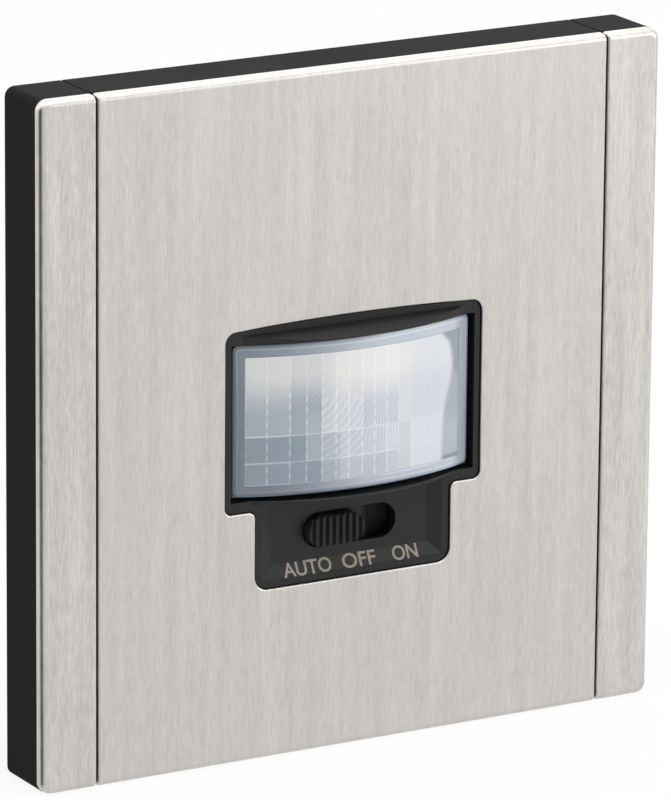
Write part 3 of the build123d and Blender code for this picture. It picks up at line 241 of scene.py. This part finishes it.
finishes = {
    "zinc": plated_metal("zinc_plated_steel", "#c3c6c9", 0.32, 0.6),
    "brass": plated_metal("stamped_brass", "#c7a55a", 0.34, 0.8),
    "copper": plated_metal("stamped_copper", "#c08a62", 0.36, 0.8),
    "can": plated_metal("drawn_aluminium", "#bfc0c2", 0.28, 1.2),
    "board": moulded_plastic("solder_masked_board", "#12502e", 0.3, 0.5, 0.01),
    "epoxy": moulded_plastic("cast_black_epoxy", "#151515", 0.5, 0.1, 0.006),
    "blue": moulded_plastic("dipped_blue_epoxy", "#1f4f9c", 0.22, 0.8, 0.01),
    "yellow": moulded_plastic("moulded_yellow_box", "#cfae35", 0.4, 0.1, 0.006),
    "relay": moulded_plastic("moulded_blue_box", "#2a5aa8", 0.4, 0.1, 0.006),
    "fuse": moulded_plastic("lacquered_brown_body", "#6b3a1c", 0.25, 0.5, 0.006),
    "ferrite": moulded_plastic("pressed_ferrite", "#3b3938", 0.7, 0.15, 0.02),
    "lamp": moulded_plastic("tinted_red_lens", "#b5201c", 0.2, 0.5, 0.002),
}
print("made", len(finishes), "finishes for the inside")

# %% [markdown]
# ## Milky polyethylene
# The lens is thin moulded polyethylene. It lets infrared through and scatters light, so it
# looks like milk glass: pale and a little blue. Its colours carry painted light and shade, and
# a painted highlight along the ridges. It could be a clear plastic with what lies behind it,
# but the eye sees only a white skin with depth. So a share of scattering under the skin softens
# its edges, and a waxy gloss lies on top. The border and the facets share this, and each works
# out its own colour.

# %% Milky polyethylene
light_spread = 0.4 * mm


def milky_plastic(name, colour):
    """A waxy plastic that scatters light under its skin. A function of its own links its colour."""
    material, tree, surface = new_material(name)
    milk_glass = add_node(tree, "ShaderNodeBsdfPrincipled", {
        "Roughness": 0.3, "IOR": 1.52, "Subsurface Weight": 0.25,
        "Subsurface Radius": (1.0, 0.9, 0.85), "Subsurface Scale": light_spread,
        "Coat Weight": 0.4, "Coat Roughness": 0.12})
    tree.links.new(milk_glass.outputs["BSDF"], surface)
    colour(tree, milk_glass)
    return material


print("light spreads", light_spread / mm, "mm under the skin")

# %% [markdown]
# ## Colour of the lens's border
# The border's colour is painted light and shade: blue-grey at the left, where little light
# reaches it, painted whiter to the right and at the top, and a painted shade again round the far
# corner. Soft steps along the part's own axes paint that, and a cloud of noise keeps it uneven.
# The edge number adds a painted shade at the outer edge and a painted highlight on the raised
# line.

# %% Colour of the lens's border
def border_tone_and_painted_light(tree, milk_glass):
    """A step across, a rise upwards, a cloud and the edge number mix blue-grey with white, as painted
    light and shade.
    """
    cloud_size, cloud_share, painted_edge_shade = 6 * mm, 0.16, -0.55
    place_on_part = add_node(tree, "ShaderNodeTexCoord").outputs["Object"]
    axes = add_node(tree, "ShaderNodeSeparateXYZ", {0: place_on_part})
    # Painted light: whiter to the right and towards the top, painted shade at the far right
    painted_light_to_right = add_node(tree, "ShaderNodeMapRange", {
        "Value": axes.outputs["X"], "From Min": -14 * mm, "From Max": 4 * mm},
        interpolation_type="SMOOTHSTEP")
    painted_light_upward = add_node(tree, "ShaderNodeMapRange", {
        "Value": axes.outputs["Z"], "From Min": -9 * mm, "From Max": 9 * mm,
        "To Min": 0.0, "To Max": 0.1})
    cloud = add_node(tree, "ShaderNodeTexNoise", {
        "Vector": place_on_part, "Scale": 1 / cloud_size, "Detail": 2.0})
    painted_shade_far_right = add_node(tree, "ShaderNodeMapRange", {
        "Value": axes.outputs["X"], "From Min": 13.5 * mm, "From Max": 15.5 * mm,
        "To Min": 0.62, "To Max": 0.22}, interpolation_type="SMOOTHSTEP")
    mottled = add_node(tree, "ShaderNodeMath", {
        0: cloud.outputs["Fac"], 1: cloud_share, 2: painted_light_upward.outputs["Result"]},
        operation="MULTIPLY_ADD")
    white = add_node(tree, "ShaderNodeMath", {
        0: painted_light_to_right.outputs["Result"], 1: painted_shade_far_right.outputs["Result"], 2: mottled.outputs[0]},
        operation="MULTIPLY_ADD")
    # The edge number: painted shade at the outer edge, painted highlight on the raised line
    edge = add_node(tree, "ShaderNodeAttribute", attribute_name="edge").outputs["Fac"]
    white = add_node(tree, "ShaderNodeMath", {
        0: edge, 1: painted_edge_shade, 2: white.outputs[0]}, operation="MULTIPLY_ADD", use_clamp=True)
    tint = add_node(tree, "ShaderNodeMix", {
        "Factor": white.outputs[0], "A": linear("#5f6974"), "B": linear("#c8cfd9")},
        data_type="RGBA")
    tree.links.new(tint.outputs["Result"], milk_glass.inputs["Base Color"])


lens_border = milky_plastic("moulded_polyethylene", border_tone_and_painted_light)
print("made", lens_border.name)

# %% [markdown]
# ## Colour of the lens's facets
# The facets get their colour, painted light and shade included, from numbers that their mesh
# carries, because it changes from one small lens to the next. The teeth of the rings are too
# fine for the mesh, so they are cut here, from the ring numbers, and add a painted highlight to
# the milk as well as lift it.

# %% Colour of the lens's facets
def facet_colour(tree, milk_glass):
    """The painted light of the milk, plus a painted highlight on each tooth and each ridge, mixes
    blue-grey with white.

    A tooth of a ring is the cube of the ring number's fraction, times how deep the rings are cut.
    """
    tooth_painted_highlight, ridge_painted_highlight, tooth_height = 0.26, 0.55, 0.03 * mm
    painted_light_milk, warm, ridge, ring, cut = (
        add_node(tree, "ShaderNodeAttribute", attribute_name=name).outputs["Fac"]
        for name in ("painted_light_milk", "warm", "ridge", "ring", "cut"))
    turns = add_node(tree, "ShaderNodeMath", {0: ring}, operation="FRACT").outputs[0]
    sharp = add_node(tree, "ShaderNodeMath", {0: turns, 1: 3.0}, operation="POWER").outputs[0]
    tooth = add_node(tree, "ShaderNodeMath", {0: sharp, 1: cut}, operation="MULTIPLY").outputs[0]
    # Painted highlights: each tooth and each ridge whitens the painted light of the milk
    lifted = add_node(tree, "ShaderNodeMath", {
        0: tooth, 1: tooth_painted_highlight, 2: painted_light_milk}, operation="MULTIPLY_ADD").outputs[0]
    whiter = add_node(tree, "ShaderNodeMath", {
        0: ridge, 1: ridge_painted_highlight, 2: lifted}, operation="MULTIPLY_ADD", use_clamp=True).outputs[0]
    painted_lit_white = add_node(tree, "ShaderNodeMix", {
        "Factor": warm, "A": linear("#dfe1e9"), "B": linear("#efedea")}, data_type="RGBA")
    tint = add_node(tree, "ShaderNodeMix", {
        "Factor": whiter, "A": linear("#7b8b97"), "B": painted_lit_white.outputs["Result"]}, data_type="RGBA")
    height = add_node(tree, "ShaderNodeBump", {
        "Height": tooth, "Strength": 0.5, "Distance": tooth_height})
    tree.links.new(tint.outputs["Result"], milk_glass.inputs["Base Color"])
    tree.links.new(height.outputs["Normal"], milk_glass.inputs["Normal"])


lens_faceted = milky_plastic("faceted_polyethylene", facet_colour)
print("made", lens_faceted.name)

# %% [markdown]
# ## Finishes on the solids
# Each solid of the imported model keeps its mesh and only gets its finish.

# %% Finishes on the solids
solid_finish = {
    "cover_plate": cover_steel, "left_trim_strip": strip_steel, "right_trim_strip": strip_steel,
    "cover_carrier": shell_black, "left_trim_carrier": shell_black,
    "right_trim_carrier": shell_black, "mounting_frame": shell_black,
    "sensor_bezel": bezel_black, "switch_knob": knob_black,
    "fresnel_lens": lens_border, "lens_retainer": inner_white, "module_front": housing_grey,
    "rear_housing": housing_grey, "terminal_block": housing_grey,
    "frame_screws": finishes["zinc"], "housing_screws": finishes["zinc"],
    "sensor_board": finishes["board"], "power_board": finishes["board"],
    "pyro_sensor": finishes["can"], "bulk_capacitor": finishes["can"],
    "light_sensor": finishes["yellow"], "film_capacitor": finishes["yellow"],
    "status_lamp": finishes["lamp"], "controller_chip": finishes["epoxy"],
    "slide_switch_body": finishes["epoxy"], "slide_switch_actuator": finishes["epoxy"],
    "board_header": finishes["epoxy"], "time_trimmer_body": finishes["blue"],
    "lux_trimmer_body": finishes["blue"], "varistor": finishes["blue"],
    "time_trimmer_rotor": inner_white, "lux_trimmer_rotor": inner_white,
    "relay": finishes["relay"], "fuse": finishes["fuse"], "choke": finishes["ferrite"],
    "terminal_contacts": finishes["copper"],
}
for terminal in ("live", "neutral", "load"):
    solid_finish["terminal_screw_" + terminal] = finishes["zinc"]
    solid_finish["terminal_cage_" + terminal] = finishes["brass"]
for name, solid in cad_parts.items():
    for material_slot in solid.material_slots:
        material_slot.material = solid_finish[name]
print("solids without a finish:", sorted(set(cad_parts) - set(solid_finish)))

# %% [markdown]
# ## Bells and steps
# Moulded relief has no hard corners. Two soft curves draw all of it here, and the changes of
# colour too: a bell for a line or a bead, and a smooth step from one level to another.

# %% Bells and steps
def near(value, middle, width):
    """One at the middle, falling off as a bell whose width is its standard deviation."""
    return np.exp(-0.5 * ((value - middle) / width) ** 2)


def rise(value, start, stop):
    """Zero before start, one after stop, and 3t^2 - 2t^3 between."""
    share = np.clip((value - start) / (stop - start), 0, 1)
    return share * share * (3 - 2 * share)


print("a quarter of the way up the step is", rise(0.25, 0, 1), "high")

# %% [markdown]
# ## Shells on the bow
# The lens's front is part of an upright cylinder, so everything on it is placed by an angle
# round the cylinder's axis, a height, and a reach from that axis. The facets and the border
# are both thin shells: a front, the same faces turned round at the back, and a rim that closes
# them. A single sheet would look the same from the front, but a closed shell has an inside, so
# it can be measured and printed.

# %% Shells on the bow
lens_radius, lens_front = 40.0, 12.05
shell_depth = 0.05


def on_the_bow(reach, angle, height):
    """A point at a reach from the bow's axis: sideways by the sine, forward by the cosine."""
    depth = lens_radius - lens_front - reach * np.cos(angle)
    return np.stack([reach * np.sin(angle), depth, height], -1)


def volume_inside(points, faces):
    """The sum of each face's two tetrahedra to the origin, positive where faces point outwards."""
    corners = points[faces]
    first = np.einsum("ij,ij->i", corners[:, 0], np.cross(corners[:, 1], corners[:, 2]))
    second = np.einsum("ij,ij->i", corners[:, 0], np.cross(corners[:, 2], corners[:, 3]))
    return float(first.sum() + second.sum()) / 6


def shell_mesh(name, front, back, front_faces, rim_faces):
    """A closed shell: the front's faces, the same ones turned round at the back, and the rim."""
    points = np.concatenate([front.reshape(-1, 3), back.reshape(-1, 3)])
    count = len(points) // 2
    faces = np.concatenate([front_faces, front_faces[:, ::-1] + count, rim_faces])
    mesh = bpy.data.meshes.new(name)
    mesh.from_pydata(points * mm, [], faces.tolist())
    mesh.update()
    mesh.polygons.foreach_set("use_smooth", np.arange(len(faces)) < len(front_faces))
    volume = round(volume_inside(points, faces), 1)
    print(name + ":", len(faces), "faces around", volume, "cubic millimetres")
    return mesh


def keep_values(mesh, label, values):
    """Keeps a number for each point: the front's numbers, and the same again for the back."""
    layer = mesh.attributes.new(label, "FLOAT", "POINT")
    layer.data.foreach_set("value", np.tile(values.ravel(), 2).astype(np.float32))


print("the bow is", lens_radius, "mm in radius and stands", lens_front, "mm before the wall")

# %% [markdown]
# ## The lens's facets
# Inside the bowed front lie fourteen columns of small lenses in three rows. Each is cut into
# rings, so a thin wall bends light as a thick lens does. A raised line parts them, and beads
# along it catch the light, less so near the top and at the right. The same ridge number also
# whitens the colour as a painted highlight. The front is a grid over the angle and the height,
# lifted a few hundredths of a millimetre where a line runs, and a little towards each lens's
# middle.

# %% The lens's facets
columns = np.array([-15.1, -12.55, -9.8, -7.75, -5.8, -3.95, -2.25, -0.4,
                    1.35, 3.1, 4.9, 6.8, 8.9, 11.7, 14.8])
rows = np.array([-7.95, -5.15, -1.8, 8.2])
line_width, line_height = 0.06, 0.05
facet_height, facet_crown = 0.11, 0.02
bead_gap, low_bead_gap = 1.45, 0.9

x, z = np.meshgrid(np.linspace(columns[0], columns[-1], 301), np.linspace(rows[0], rows[-1], 161))
edge_x = np.min(np.abs(x[..., None] - columns), axis=-1)
edge_z = np.min(np.abs(z[..., None] - rows), axis=-1)
beads = 0.62 + 0.38 * np.sin(2 * math.pi * z / bead_gap + 1.3 * x)
low_beads = 0.5 - 0.1 * np.sin(2 * math.pi * x / low_bead_gap)
ridge_x = near(edge_x, 0, line_width) * np.where(z < 3.5, beads, beads * 0.35)
ridge_z = near(edge_z, 0, line_width) * np.where(x < columns[2], 1.0, low_beads)
# The ridge lifts the lines and, in the finish, paints a highlight on them
ridge = np.maximum(ridge_x, ridge_z) * (1 - 0.8 * rise(x, 2.0, 6.0))
lift = facet_height + line_height * ridge + facet_crown * np.minimum(edge_x, edge_z).clip(0, 1)

numbers = np.arange(x.size).reshape(x.shape)
front_faces = np.stack([numbers[:-1, :-1], numbers[:-1, 1:], numbers[1:, 1:], numbers[1:, :-1]], -1)
rim = np.concatenate([numbers[0, :], numbers[1:, -1], numbers[-1, -2::-1], numbers[-2:0:-1, 0]])
next_rim = np.roll(rim, -1)
angle = np.arcsin(x / lens_radius)
facet_mesh = shell_mesh(
    "lens_facets", on_the_bow(lens_radius + lift, angle, z),
    on_the_bow(np.full_like(x, lens_radius - shell_depth), angle, z),
    front_faces.reshape(-1, 4), np.stack([rim, rim + x.size, next_rim + x.size, next_rim], -1))

# %% [markdown]
# Each small lens is a piece cut out of a large one, so its rings run round a middle that mostly
# lies outside it. The left columns look almost smooth. From the middle on the rings show: as
# ripples near the top, as slanting arcs in the middle, and as a fan round a point at the right.
# The real rings are some tenths of a millimetre apart, and the widest here are drawn coarser,
# so that they show. The number of rings out from the middle is kept, and the finish cuts a
# tooth from its fraction.

# %% Rings of the lens
# Each zone: where it lies, the rings' middle, the gap between rings, and how deep they are cut
zones = [
    (x < columns[4], (-14.0, -4.0), 0.5, 0.06),
    ((x >= columns[3]) & (x < columns[4]) & (z > 0.0) & (z < 4.8), (-14.0, -4.0), 0.5, 0.45),
    ((x >= columns[4]) & (x < columns[7]), (-9.0, 5.5), 0.85, 0.9),
    ((x >= columns[4]) & (x < columns[7]) & (z > 2.6), (-2.6, -9.0), 0.5, 0.35),
    ((x >= columns[7]) & (x < columns[8]), (7.5, -4.5), 0.55, 0.7),
    ((x >= columns[8]) & (x < columns[13]), (13.3, -2.3), 0.45, 1.0),
    (x >= columns[13], (19.0, -1.5), 0.45, 1.3),
]
ring, cut = np.zeros_like(x), np.zeros_like(x)
for inside, (middle_x, middle_z), gap, depth in zones:
    ring = np.where(inside, np.hypot(x - middle_x, z - middle_z) / gap, ring)
    cut = np.where(inside, depth, cut)
fade_low, fade_high = 1 - 0.7 * rise(-z, 4.0, 6.5), 1 - 0.5 * rise(z, 6.0, 8.0)
cut = cut * fade_low * fade_high * (1 - 0.5 * rise(x, 4.9, 9.0))
print("rings in", len(zones), "zones, cut up to", round(float(cut.max()), 2))

# %% [markdown]
# The milk is painted light and shade: whitest as painted light from the middle to the right,
# and along the top at the left, and blue-grey as painted shade at the lower left. The shell
# here is too thin for light alone to show that, so a number from nought to one paints it, for
# one block of small lenses after another.

# %% Milk of the lens, painted light and shade
upper = z > rows[2]
columns_1_2, columns_3_4 = x < columns[2], (x >= columns[2]) & (x < columns[4])
column_4_on = x >= columns[3]
top_left = rise(z, 0.4, 6.0) * columns_1_2 + rise(z, 1.6, 6.3) * columns_3_4
upper_left = 0.3 + 0.39 * top_left - 0.06 * columns_3_4 + 0.1 * column_4_on * rise(-z, -1.5, 1.0)
left = np.where(upper, upper_left, 0.08) + 0.2 * (column_4_on & (z > rows[1]) & ~upper)
lower_middle = (0.28 + 0.1 * (z > rows[1]) + 0.22 * rise(x, -4.0, -3.0)
                + 0.08 * (x >= columns[9]))
upper_middle = (0.56 + 0.12 * rise(z, 1.0, 6.5) + 0.14 * rise(x, -4.8, -3.3)
                - 0.12 * rise(x, -0.6, -0.2) * rise(-z, -4.0, -1.0))
middle = np.where(upper, upper_middle, lower_middle)
to_the_right = np.where(upper, 0.67 + 0.1 * rise(z, 1.5, 6.5), 0.58 + 0.16 * (x >= columns[11]))
painted_light_milk = np.where(x < columns[4], left, np.where(x < columns[10], middle, to_the_right))
print("milk of the small lenses from", round(float(painted_light_milk.min()), 2), "to", round(float(painted_light_milk.max()), 2))

# %% [markdown]
# At the far right the wall curves away from the light, and a painted soft shade with a bowed
# edge lies on it. A second number, warm, leans the white from blue towards cream, most of all
# along the top. All the numbers are kept with the mesh, one for each point, and the finish
# reads them.

# %% Painted shade and warmth of the lens
shade_edge = 11.7 + 1.7 * near(z, 4.0, 3.2) - 0.8 * rise(z, 6.8, 8.2)
painted_shade = rise(x, shade_edge - 0.3, shade_edge + 0.7)
painted_shade_milk = (0.06 + 0.14 * rise(-z, -4.0, -2.0) + 0.1 * rise(-z, 2.0, 3.5)
              - 0.3 * rise(-z, 7.2, 7.7))
painted_light_milk = painted_light_milk * (1 - painted_shade) + painted_shade_milk * painted_shade

warm = np.maximum(rise(z, 0.0, 6.0), 0.5 * rise(x, 4.7, 5.1)) * (1 - 0.65 * rise(x, 4.0, 10.0))
warm = np.maximum(warm, 0.7 * ((x >= columns[4]) & (x < columns[5]) & upper))
kept_values = {"painted_light_milk": painted_light_milk, "warm": warm, "ridge": ridge, "ring": ring, "cut": cut}
for label, values in kept_values.items():
    keep_values(facet_mesh, label, values)
facet_mesh.materials.append(lens_faceted)
lens_facets = bpy.data.objects.new("lens_facets", facet_mesh)
bpy.context.scene.collection.objects.link(lens_facets)
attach(lens_facets, "root")
print("milk from", round(float(painted_light_milk.min()), 2), "to", round(float(painted_light_milk.max()), 2))

# %% [markdown]
# ## Two loops for the border
# Around the facets the lens has a plain border. It is a strip between two loops: an outer one
# with rounded corners, and the facets' own rectangle with hardly any. Both loops come from one
# function with the same number of points, so the strip needs no search for neighbours.

# %% Two loops for the border
def rounded_loop(left, right, low, high, radius, steps=8, side=60):
    """A rectangle's points in turn: each corner a quarter circle, each side a row of equal steps."""
    turn = np.linspace(0, math.pi / 2, steps)
    middles = [(right - radius, high - radius), (left + radius, high - radius),
               (left + radius, low + radius), (right - radius, low + radius)]
    arcs = []
    for number, (middle_x, middle_z) in enumerate(middles):
        arc = turn + number * math.pi / 2
        arcs.append(np.stack([middle_x + radius * np.cos(arc), middle_z + radius * np.sin(arc)], -1))
    along_side = np.linspace(0, 1, side + 2)[1:-1, None]
    joined = [np.concatenate([arc, arc[-1] + (following[0] - arc[-1]) * along_side])
              for arc, following in zip(arcs, arcs[1:] + arcs[:1])]
    return np.concatenate(joined)


outer = rounded_loop(-16.57, 16.57, -9.34, 9.8, 0.7)
inner = rounded_loop(columns[0], columns[-1], rows[0], rows[-1], 0.05)
print("points in each loop:", len(outer), len(inner))

# %% [markdown]
# ## Border of the lens
# The border rounds over to its outer edge. Its crown rises from the edge as a quarter of an
# ellipse, carries a fine raised line where the rounding ends, and steps down again to the
# facets. It could be cut on the solid, but as a strip it also carries a number for the finish:
# one at the outer edge, a painted shade fading inwards, and below nought on the raised line, a
# painted highlight that grows towards the top. At the top the strip stands a little above the
# solid's edge, close under the brow, and there its back goes as deep as the lens's wall.

# %% Border of the lens
rounding, crown_height, step_down = 0.55, 0.16, 0.04
bead_place, bead_width, bead_height = 0.62, 0.06, 0.03
solid_top, wall_more, edge_fade = 9.3, 0.7, 0.22

share = np.concatenate([np.linspace(0, 0.5, 15), np.linspace(0.5, 1, 11)[1:]])
strip = outer[:, None] + share[None, :, None] * (inner - outer)[:, None]
strip_z = strip[..., 1]
border_width = np.linalg.norm(inner - outer, axis=1)[:, None]
inward = share * border_width
bead = near(inward, bead_place, bead_width)
ellipse = np.sqrt(1 - (1 - np.clip(inward / rounding, 0, 1)) ** 2)
crown = (crown_height * ellipse - step_down * (1 - rise(border_width - inward, 0.0, 0.3))
         + bead_height * bead)
back = lens_radius - shell_depth - wall_more * rise(strip_z, solid_top, solid_top + 0.12)
angle = np.arcsin(strip[..., 0] / lens_radius)

numbers = np.arange(crown.size).reshape(crown.shape)
following = np.roll(numbers, -1, axis=0)
front_faces = np.stack([following[:, :-1], following[:, 1:], numbers[:, 1:], numbers[:, :-1]], -1)
outer_rim = np.stack([numbers[:, 0] + crown.size, following[:, 0] + crown.size,
                      following[:, 0], numbers[:, 0]], -1)
inner_rim = np.stack([following[:, -1] + crown.size, numbers[:, -1] + crown.size,
                      numbers[:, -1], following[:, -1]], -1)
border_mesh = shell_mesh(
    "lens_border", on_the_bow(lens_radius + 0.01 + crown, angle, strip_z),
    on_the_bow(back, angle, strip_z),
    front_faces.reshape(-1, 4), np.concatenate([outer_rim, inner_rim]))
# Painted shade at the outer edge, and a painted highlight on the raised line, stronger at the top
painted_bead_highlight = 0.22 + 0.3 * rise(strip_z, 0.0, 9.0)
edge = np.exp(-inward / edge_fade) - painted_bead_highlight * bead
keep_values(border_mesh, "edge", edge)
border_mesh.materials.append(lens_border)
border_piece = bpy.data.objects.new("lens_border", border_mesh)
bpy.context.scene.collection.objects.link(border_piece)
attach(border_piece, "root")
print("border up to", round(float(border_width.max()), 2), "mm wide")

# %% [markdown]
# ## The print
# AUTO, OFF and ON are printed in a warm grey on the slope under the knob. A print is a film of
# ink, so each word is a flat text with a hundredth of a millimetre of body, made a mesh and then
# laid on the slope. A pattern in the bezel's finish could draw it too, but a film of its own
# keeps the letters' edges sharp. The slope runs up and into the wall, from the rim to the
# dish's floor.

# %% The print
ink = moulded_plastic("screen_printed_ink", "#9a9184", 0.6, 0.05, 0.002, gloss=0.2)
slope_foot = np.array([0, -9.3, -20.25])
slope_head = np.array([0, -8.5, -18.7])
slope_up = (slope_head - slope_foot) / np.linalg.norm(slope_head - slope_foot)
slope_across = np.array([1.0, 0, 0])
slope_out = np.cross(slope_across, slope_up)
letter_foot, letter_height = -0.12, 1.86
ink_gap, ink_thickness = 0.004, 0.012
# Each word, with its left and its right end across the slope
words = {"AUTO": (-9.5, -2.75), "OFF": (-1.2, 3.5), "ON": (5.9, 9.45)}
for word, (start, stop) in words.items():
    text = bpy.data.curves.new("print_" + word.lower(), "FONT")
    text.body = word
    text.extrude = 0.005
    text.offset = 0.014
    flat = bpy.data.objects.new("print_" + word.lower(), text)
    bpy.context.scene.collection.objects.link(flat)
    bpy.context.view_layer.update()
    evaluated = flat.evaluated_get(bpy.context.evaluated_depsgraph_get())
    mesh = bpy.data.meshes.new_from_object(evaluated)
    bpy.data.objects.remove(flat)
    drawn = np.empty(len(mesh.vertices) * 3, np.float32)
    mesh.vertices.foreach_get("co", drawn)
    drawn = drawn.reshape(-1, 3).astype(float)
    shares = (drawn - drawn.min(axis=0)) / (drawn.max(axis=0) - drawn.min(axis=0))
    along = start + shares[:, 0] * (stop - start)
    up = letter_foot + shares[:, 1] * letter_height
    out = ink_gap + shares[:, 2] * ink_thickness
    laid = slope_foot + along[:, None] * slope_across + up[:, None] * slope_up + out[:, None] * slope_out
    mesh.vertices.foreach_set("co", (laid * mm).astype(np.float32).ravel())
    mesh.materials.clear()
    mesh.materials.append(ink)
    mesh.update()
    piece = bpy.data.objects.new("print_" + word.lower(), mesh)
    bpy.context.scene.collection.objects.link(piece)
    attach(piece, "root")
    print(word, "is", round(stop - start, 2), "mm wide")

# %% [markdown]
# ## The floor
# A pale paper floor. Rays from the camera see it nearly as white as the backdrop, through a
# share of plain glow, and the rest of it is dull paper, which keeps the switch's shadow.
# Reflections pass it, so that the steel mirrors the same room below as it does in front.

# %% The floor
def backdrop_rays(tree):
    """One for a ray from the camera, through glass or off a mirror, and nought for any other."""
    paths = add_node(tree, "ShaderNodeLightPath").outputs
    through = add_node(tree, "ShaderNodeMath", {
        0: paths["Is Camera Ray"], 1: paths["Is Transmission Ray"]}, operation="MAXIMUM")
    seen = add_node(tree, "ShaderNodeMath", {
        0: through.outputs[0], 1: paths["Is Glossy Ray"]}, operation="MAXIMUM")
    return seen.outputs[0]


glow_share = 0.9
half_floor, ground = 3.0, -43.1 * mm
floor_material, tree, surface = new_material("pale_floor")
paper = add_node(tree, "ShaderNodeBsdfDiffuse", {"Color": linear("#f6f6f6")})
glow = add_node(tree, "ShaderNodeEmission", {"Color": (1, 1, 1, 1), "Strength": 1.0})
glowing = add_node(tree, "ShaderNodeMath", {
    0: backdrop_rays(tree), 1: glow_share}, operation="MULTIPLY")
blend = add_node(tree, "ShaderNodeMixShader", {
    0: glowing.outputs[0], 1: paper.outputs[0], 2: glow.outputs[0]})
tree.links.new(blend.outputs[0], surface)
floor_mesh = bpy.data.meshes.new("floor")
floor_corners = [(-half_floor, -half_floor, ground), (half_floor, -half_floor, ground),
                 (half_floor, half_floor, ground), (-half_floor, half_floor, ground)]
floor_mesh.from_pydata(floor_corners, [], [(0, 1, 2, 3)])
floor_mesh.materials.append(floor_material)
floor = bpy.data.objects.new("floor", floor_mesh)
floor.visible_glossy = False
bpy.context.scene.collection.objects.link(floor)
print("floor", round(-ground / mm, 1), "mm below the plate's middle")

# %% [markdown]
# ## The room
# The camera sees a plain white surround. In reflections it is a room: the same white in front,
# at the right and behind, brighter overhead, and dark at the far left, where no light stands.
# White all round would be simpler, but the dark side draws the line in the steel's left bend.
# The same room, dimmer, lights the dull surfaces.

# %% The room
dim_share = 0.55
world = bpy.data.worlds.new("plain_room")
bpy.context.scene.world = world
world.use_nodes = True
world.node_tree.nodes.clear()
tree = world.node_tree
direction = add_node(tree, "ShaderNodeTexCoord").outputs["Generated"]
towards = add_node(tree, "ShaderNodeSeparateXYZ", {0: direction})
from_left = add_node(tree, "ShaderNodeMapRange", {
    "Value": towards.outputs["X"], "From Min": -0.95, "From Max": -0.68,
    "To Min": 0.0, "To Max": 1.0}, interpolation_type="SMOOTHSTEP")
behind = add_node(tree, "ShaderNodeMapRange", {
    "Value": towards.outputs["Y"], "From Min": 0.45, "From Max": 0.75},
    interpolation_type="SMOOTHSTEP")
sides = add_node(tree, "ShaderNodeMath", {
    0: from_left.outputs["Result"], 1: behind.outputs["Result"]}, operation="MAXIMUM")
tilted = add_node(tree, "ShaderNodeVectorMath", {
    0: direction, 1: (0.0, 0.6, 0.8)}, operation="DOT_PRODUCT")
overhead = add_node(tree, "ShaderNodeMapRange", {
    "Value": tilted.outputs["Value"], "From Min": 0.25, "From Max": 0.65,
    "To Min": 0.0, "To Max": 0.8}, interpolation_type="SMOOTHSTEP")
room = add_node(tree, "ShaderNodeMath", {
    0: sides.outputs[0], 1: overhead.outputs["Result"]}, operation="ADD")
dim_room = add_node(tree, "ShaderNodeMath", {0: room.outputs[0], 1: dim_share}, operation="MULTIPLY")
mirrored = add_node(tree, "ShaderNodeLightPath").outputs["Is Glossy Ray"]
white_or_room = add_node(tree, "ShaderNodeMix", {
    "Factor": mirrored, "A": 1.0, "B": room.outputs[0]}, data_type="FLOAT")
dim = add_node(tree, "ShaderNodeBackground", {
    "Color": (1, 1, 1, 1), "Strength": dim_room.outputs[0]})
backdrop = add_node(tree, "ShaderNodeBackground", {
    "Color": (1, 1, 1, 1), "Strength": white_or_room.outputs["Result"]})
sky = add_node(tree, "ShaderNodeMixShader", {
    0: backdrop_rays(tree), 1: dim.outputs[0], 2: backdrop.outputs[0]})
add_node(tree, "ShaderNodeOutputWorld", {"Surface": sky.outputs[0]})
print("the room has", len(tree.nodes), "nodes")

# %% [markdown]
# ## The lamps
# Two soft lamps give the shadows their direction, one from above and one from the right. Both
# are large for so small a thing, as a photographer's are, so that their shadows stay soft.

# %% The lamps
def soft_lamp(name, place, size, watts):
    """A square area lamp that faces the switch. Its place and its size are in metres."""
    data = bpy.data.lights.new(name, "AREA")
    data.size = size
    data.energy = watts
    lamp = bpy.data.objects.new(name, data)
    lamp.location = place
    lamp.rotation_euler = (-Vector(place)).to_track_quat("-Z", "Y").to_euler()
    bpy.context.scene.collection.objects.link(lamp)
    return lamp


lamps = [
    soft_lamp("lamp_above", (0.1, -0.35, 0.9), 0.7, 3.0),
    soft_lamp("lamp_right", (0.75, -0.65, 0.2), 0.5, 3.0),
]
print("lamps:", [(lamp.name, lamp.data.energy) for lamp in lamps])
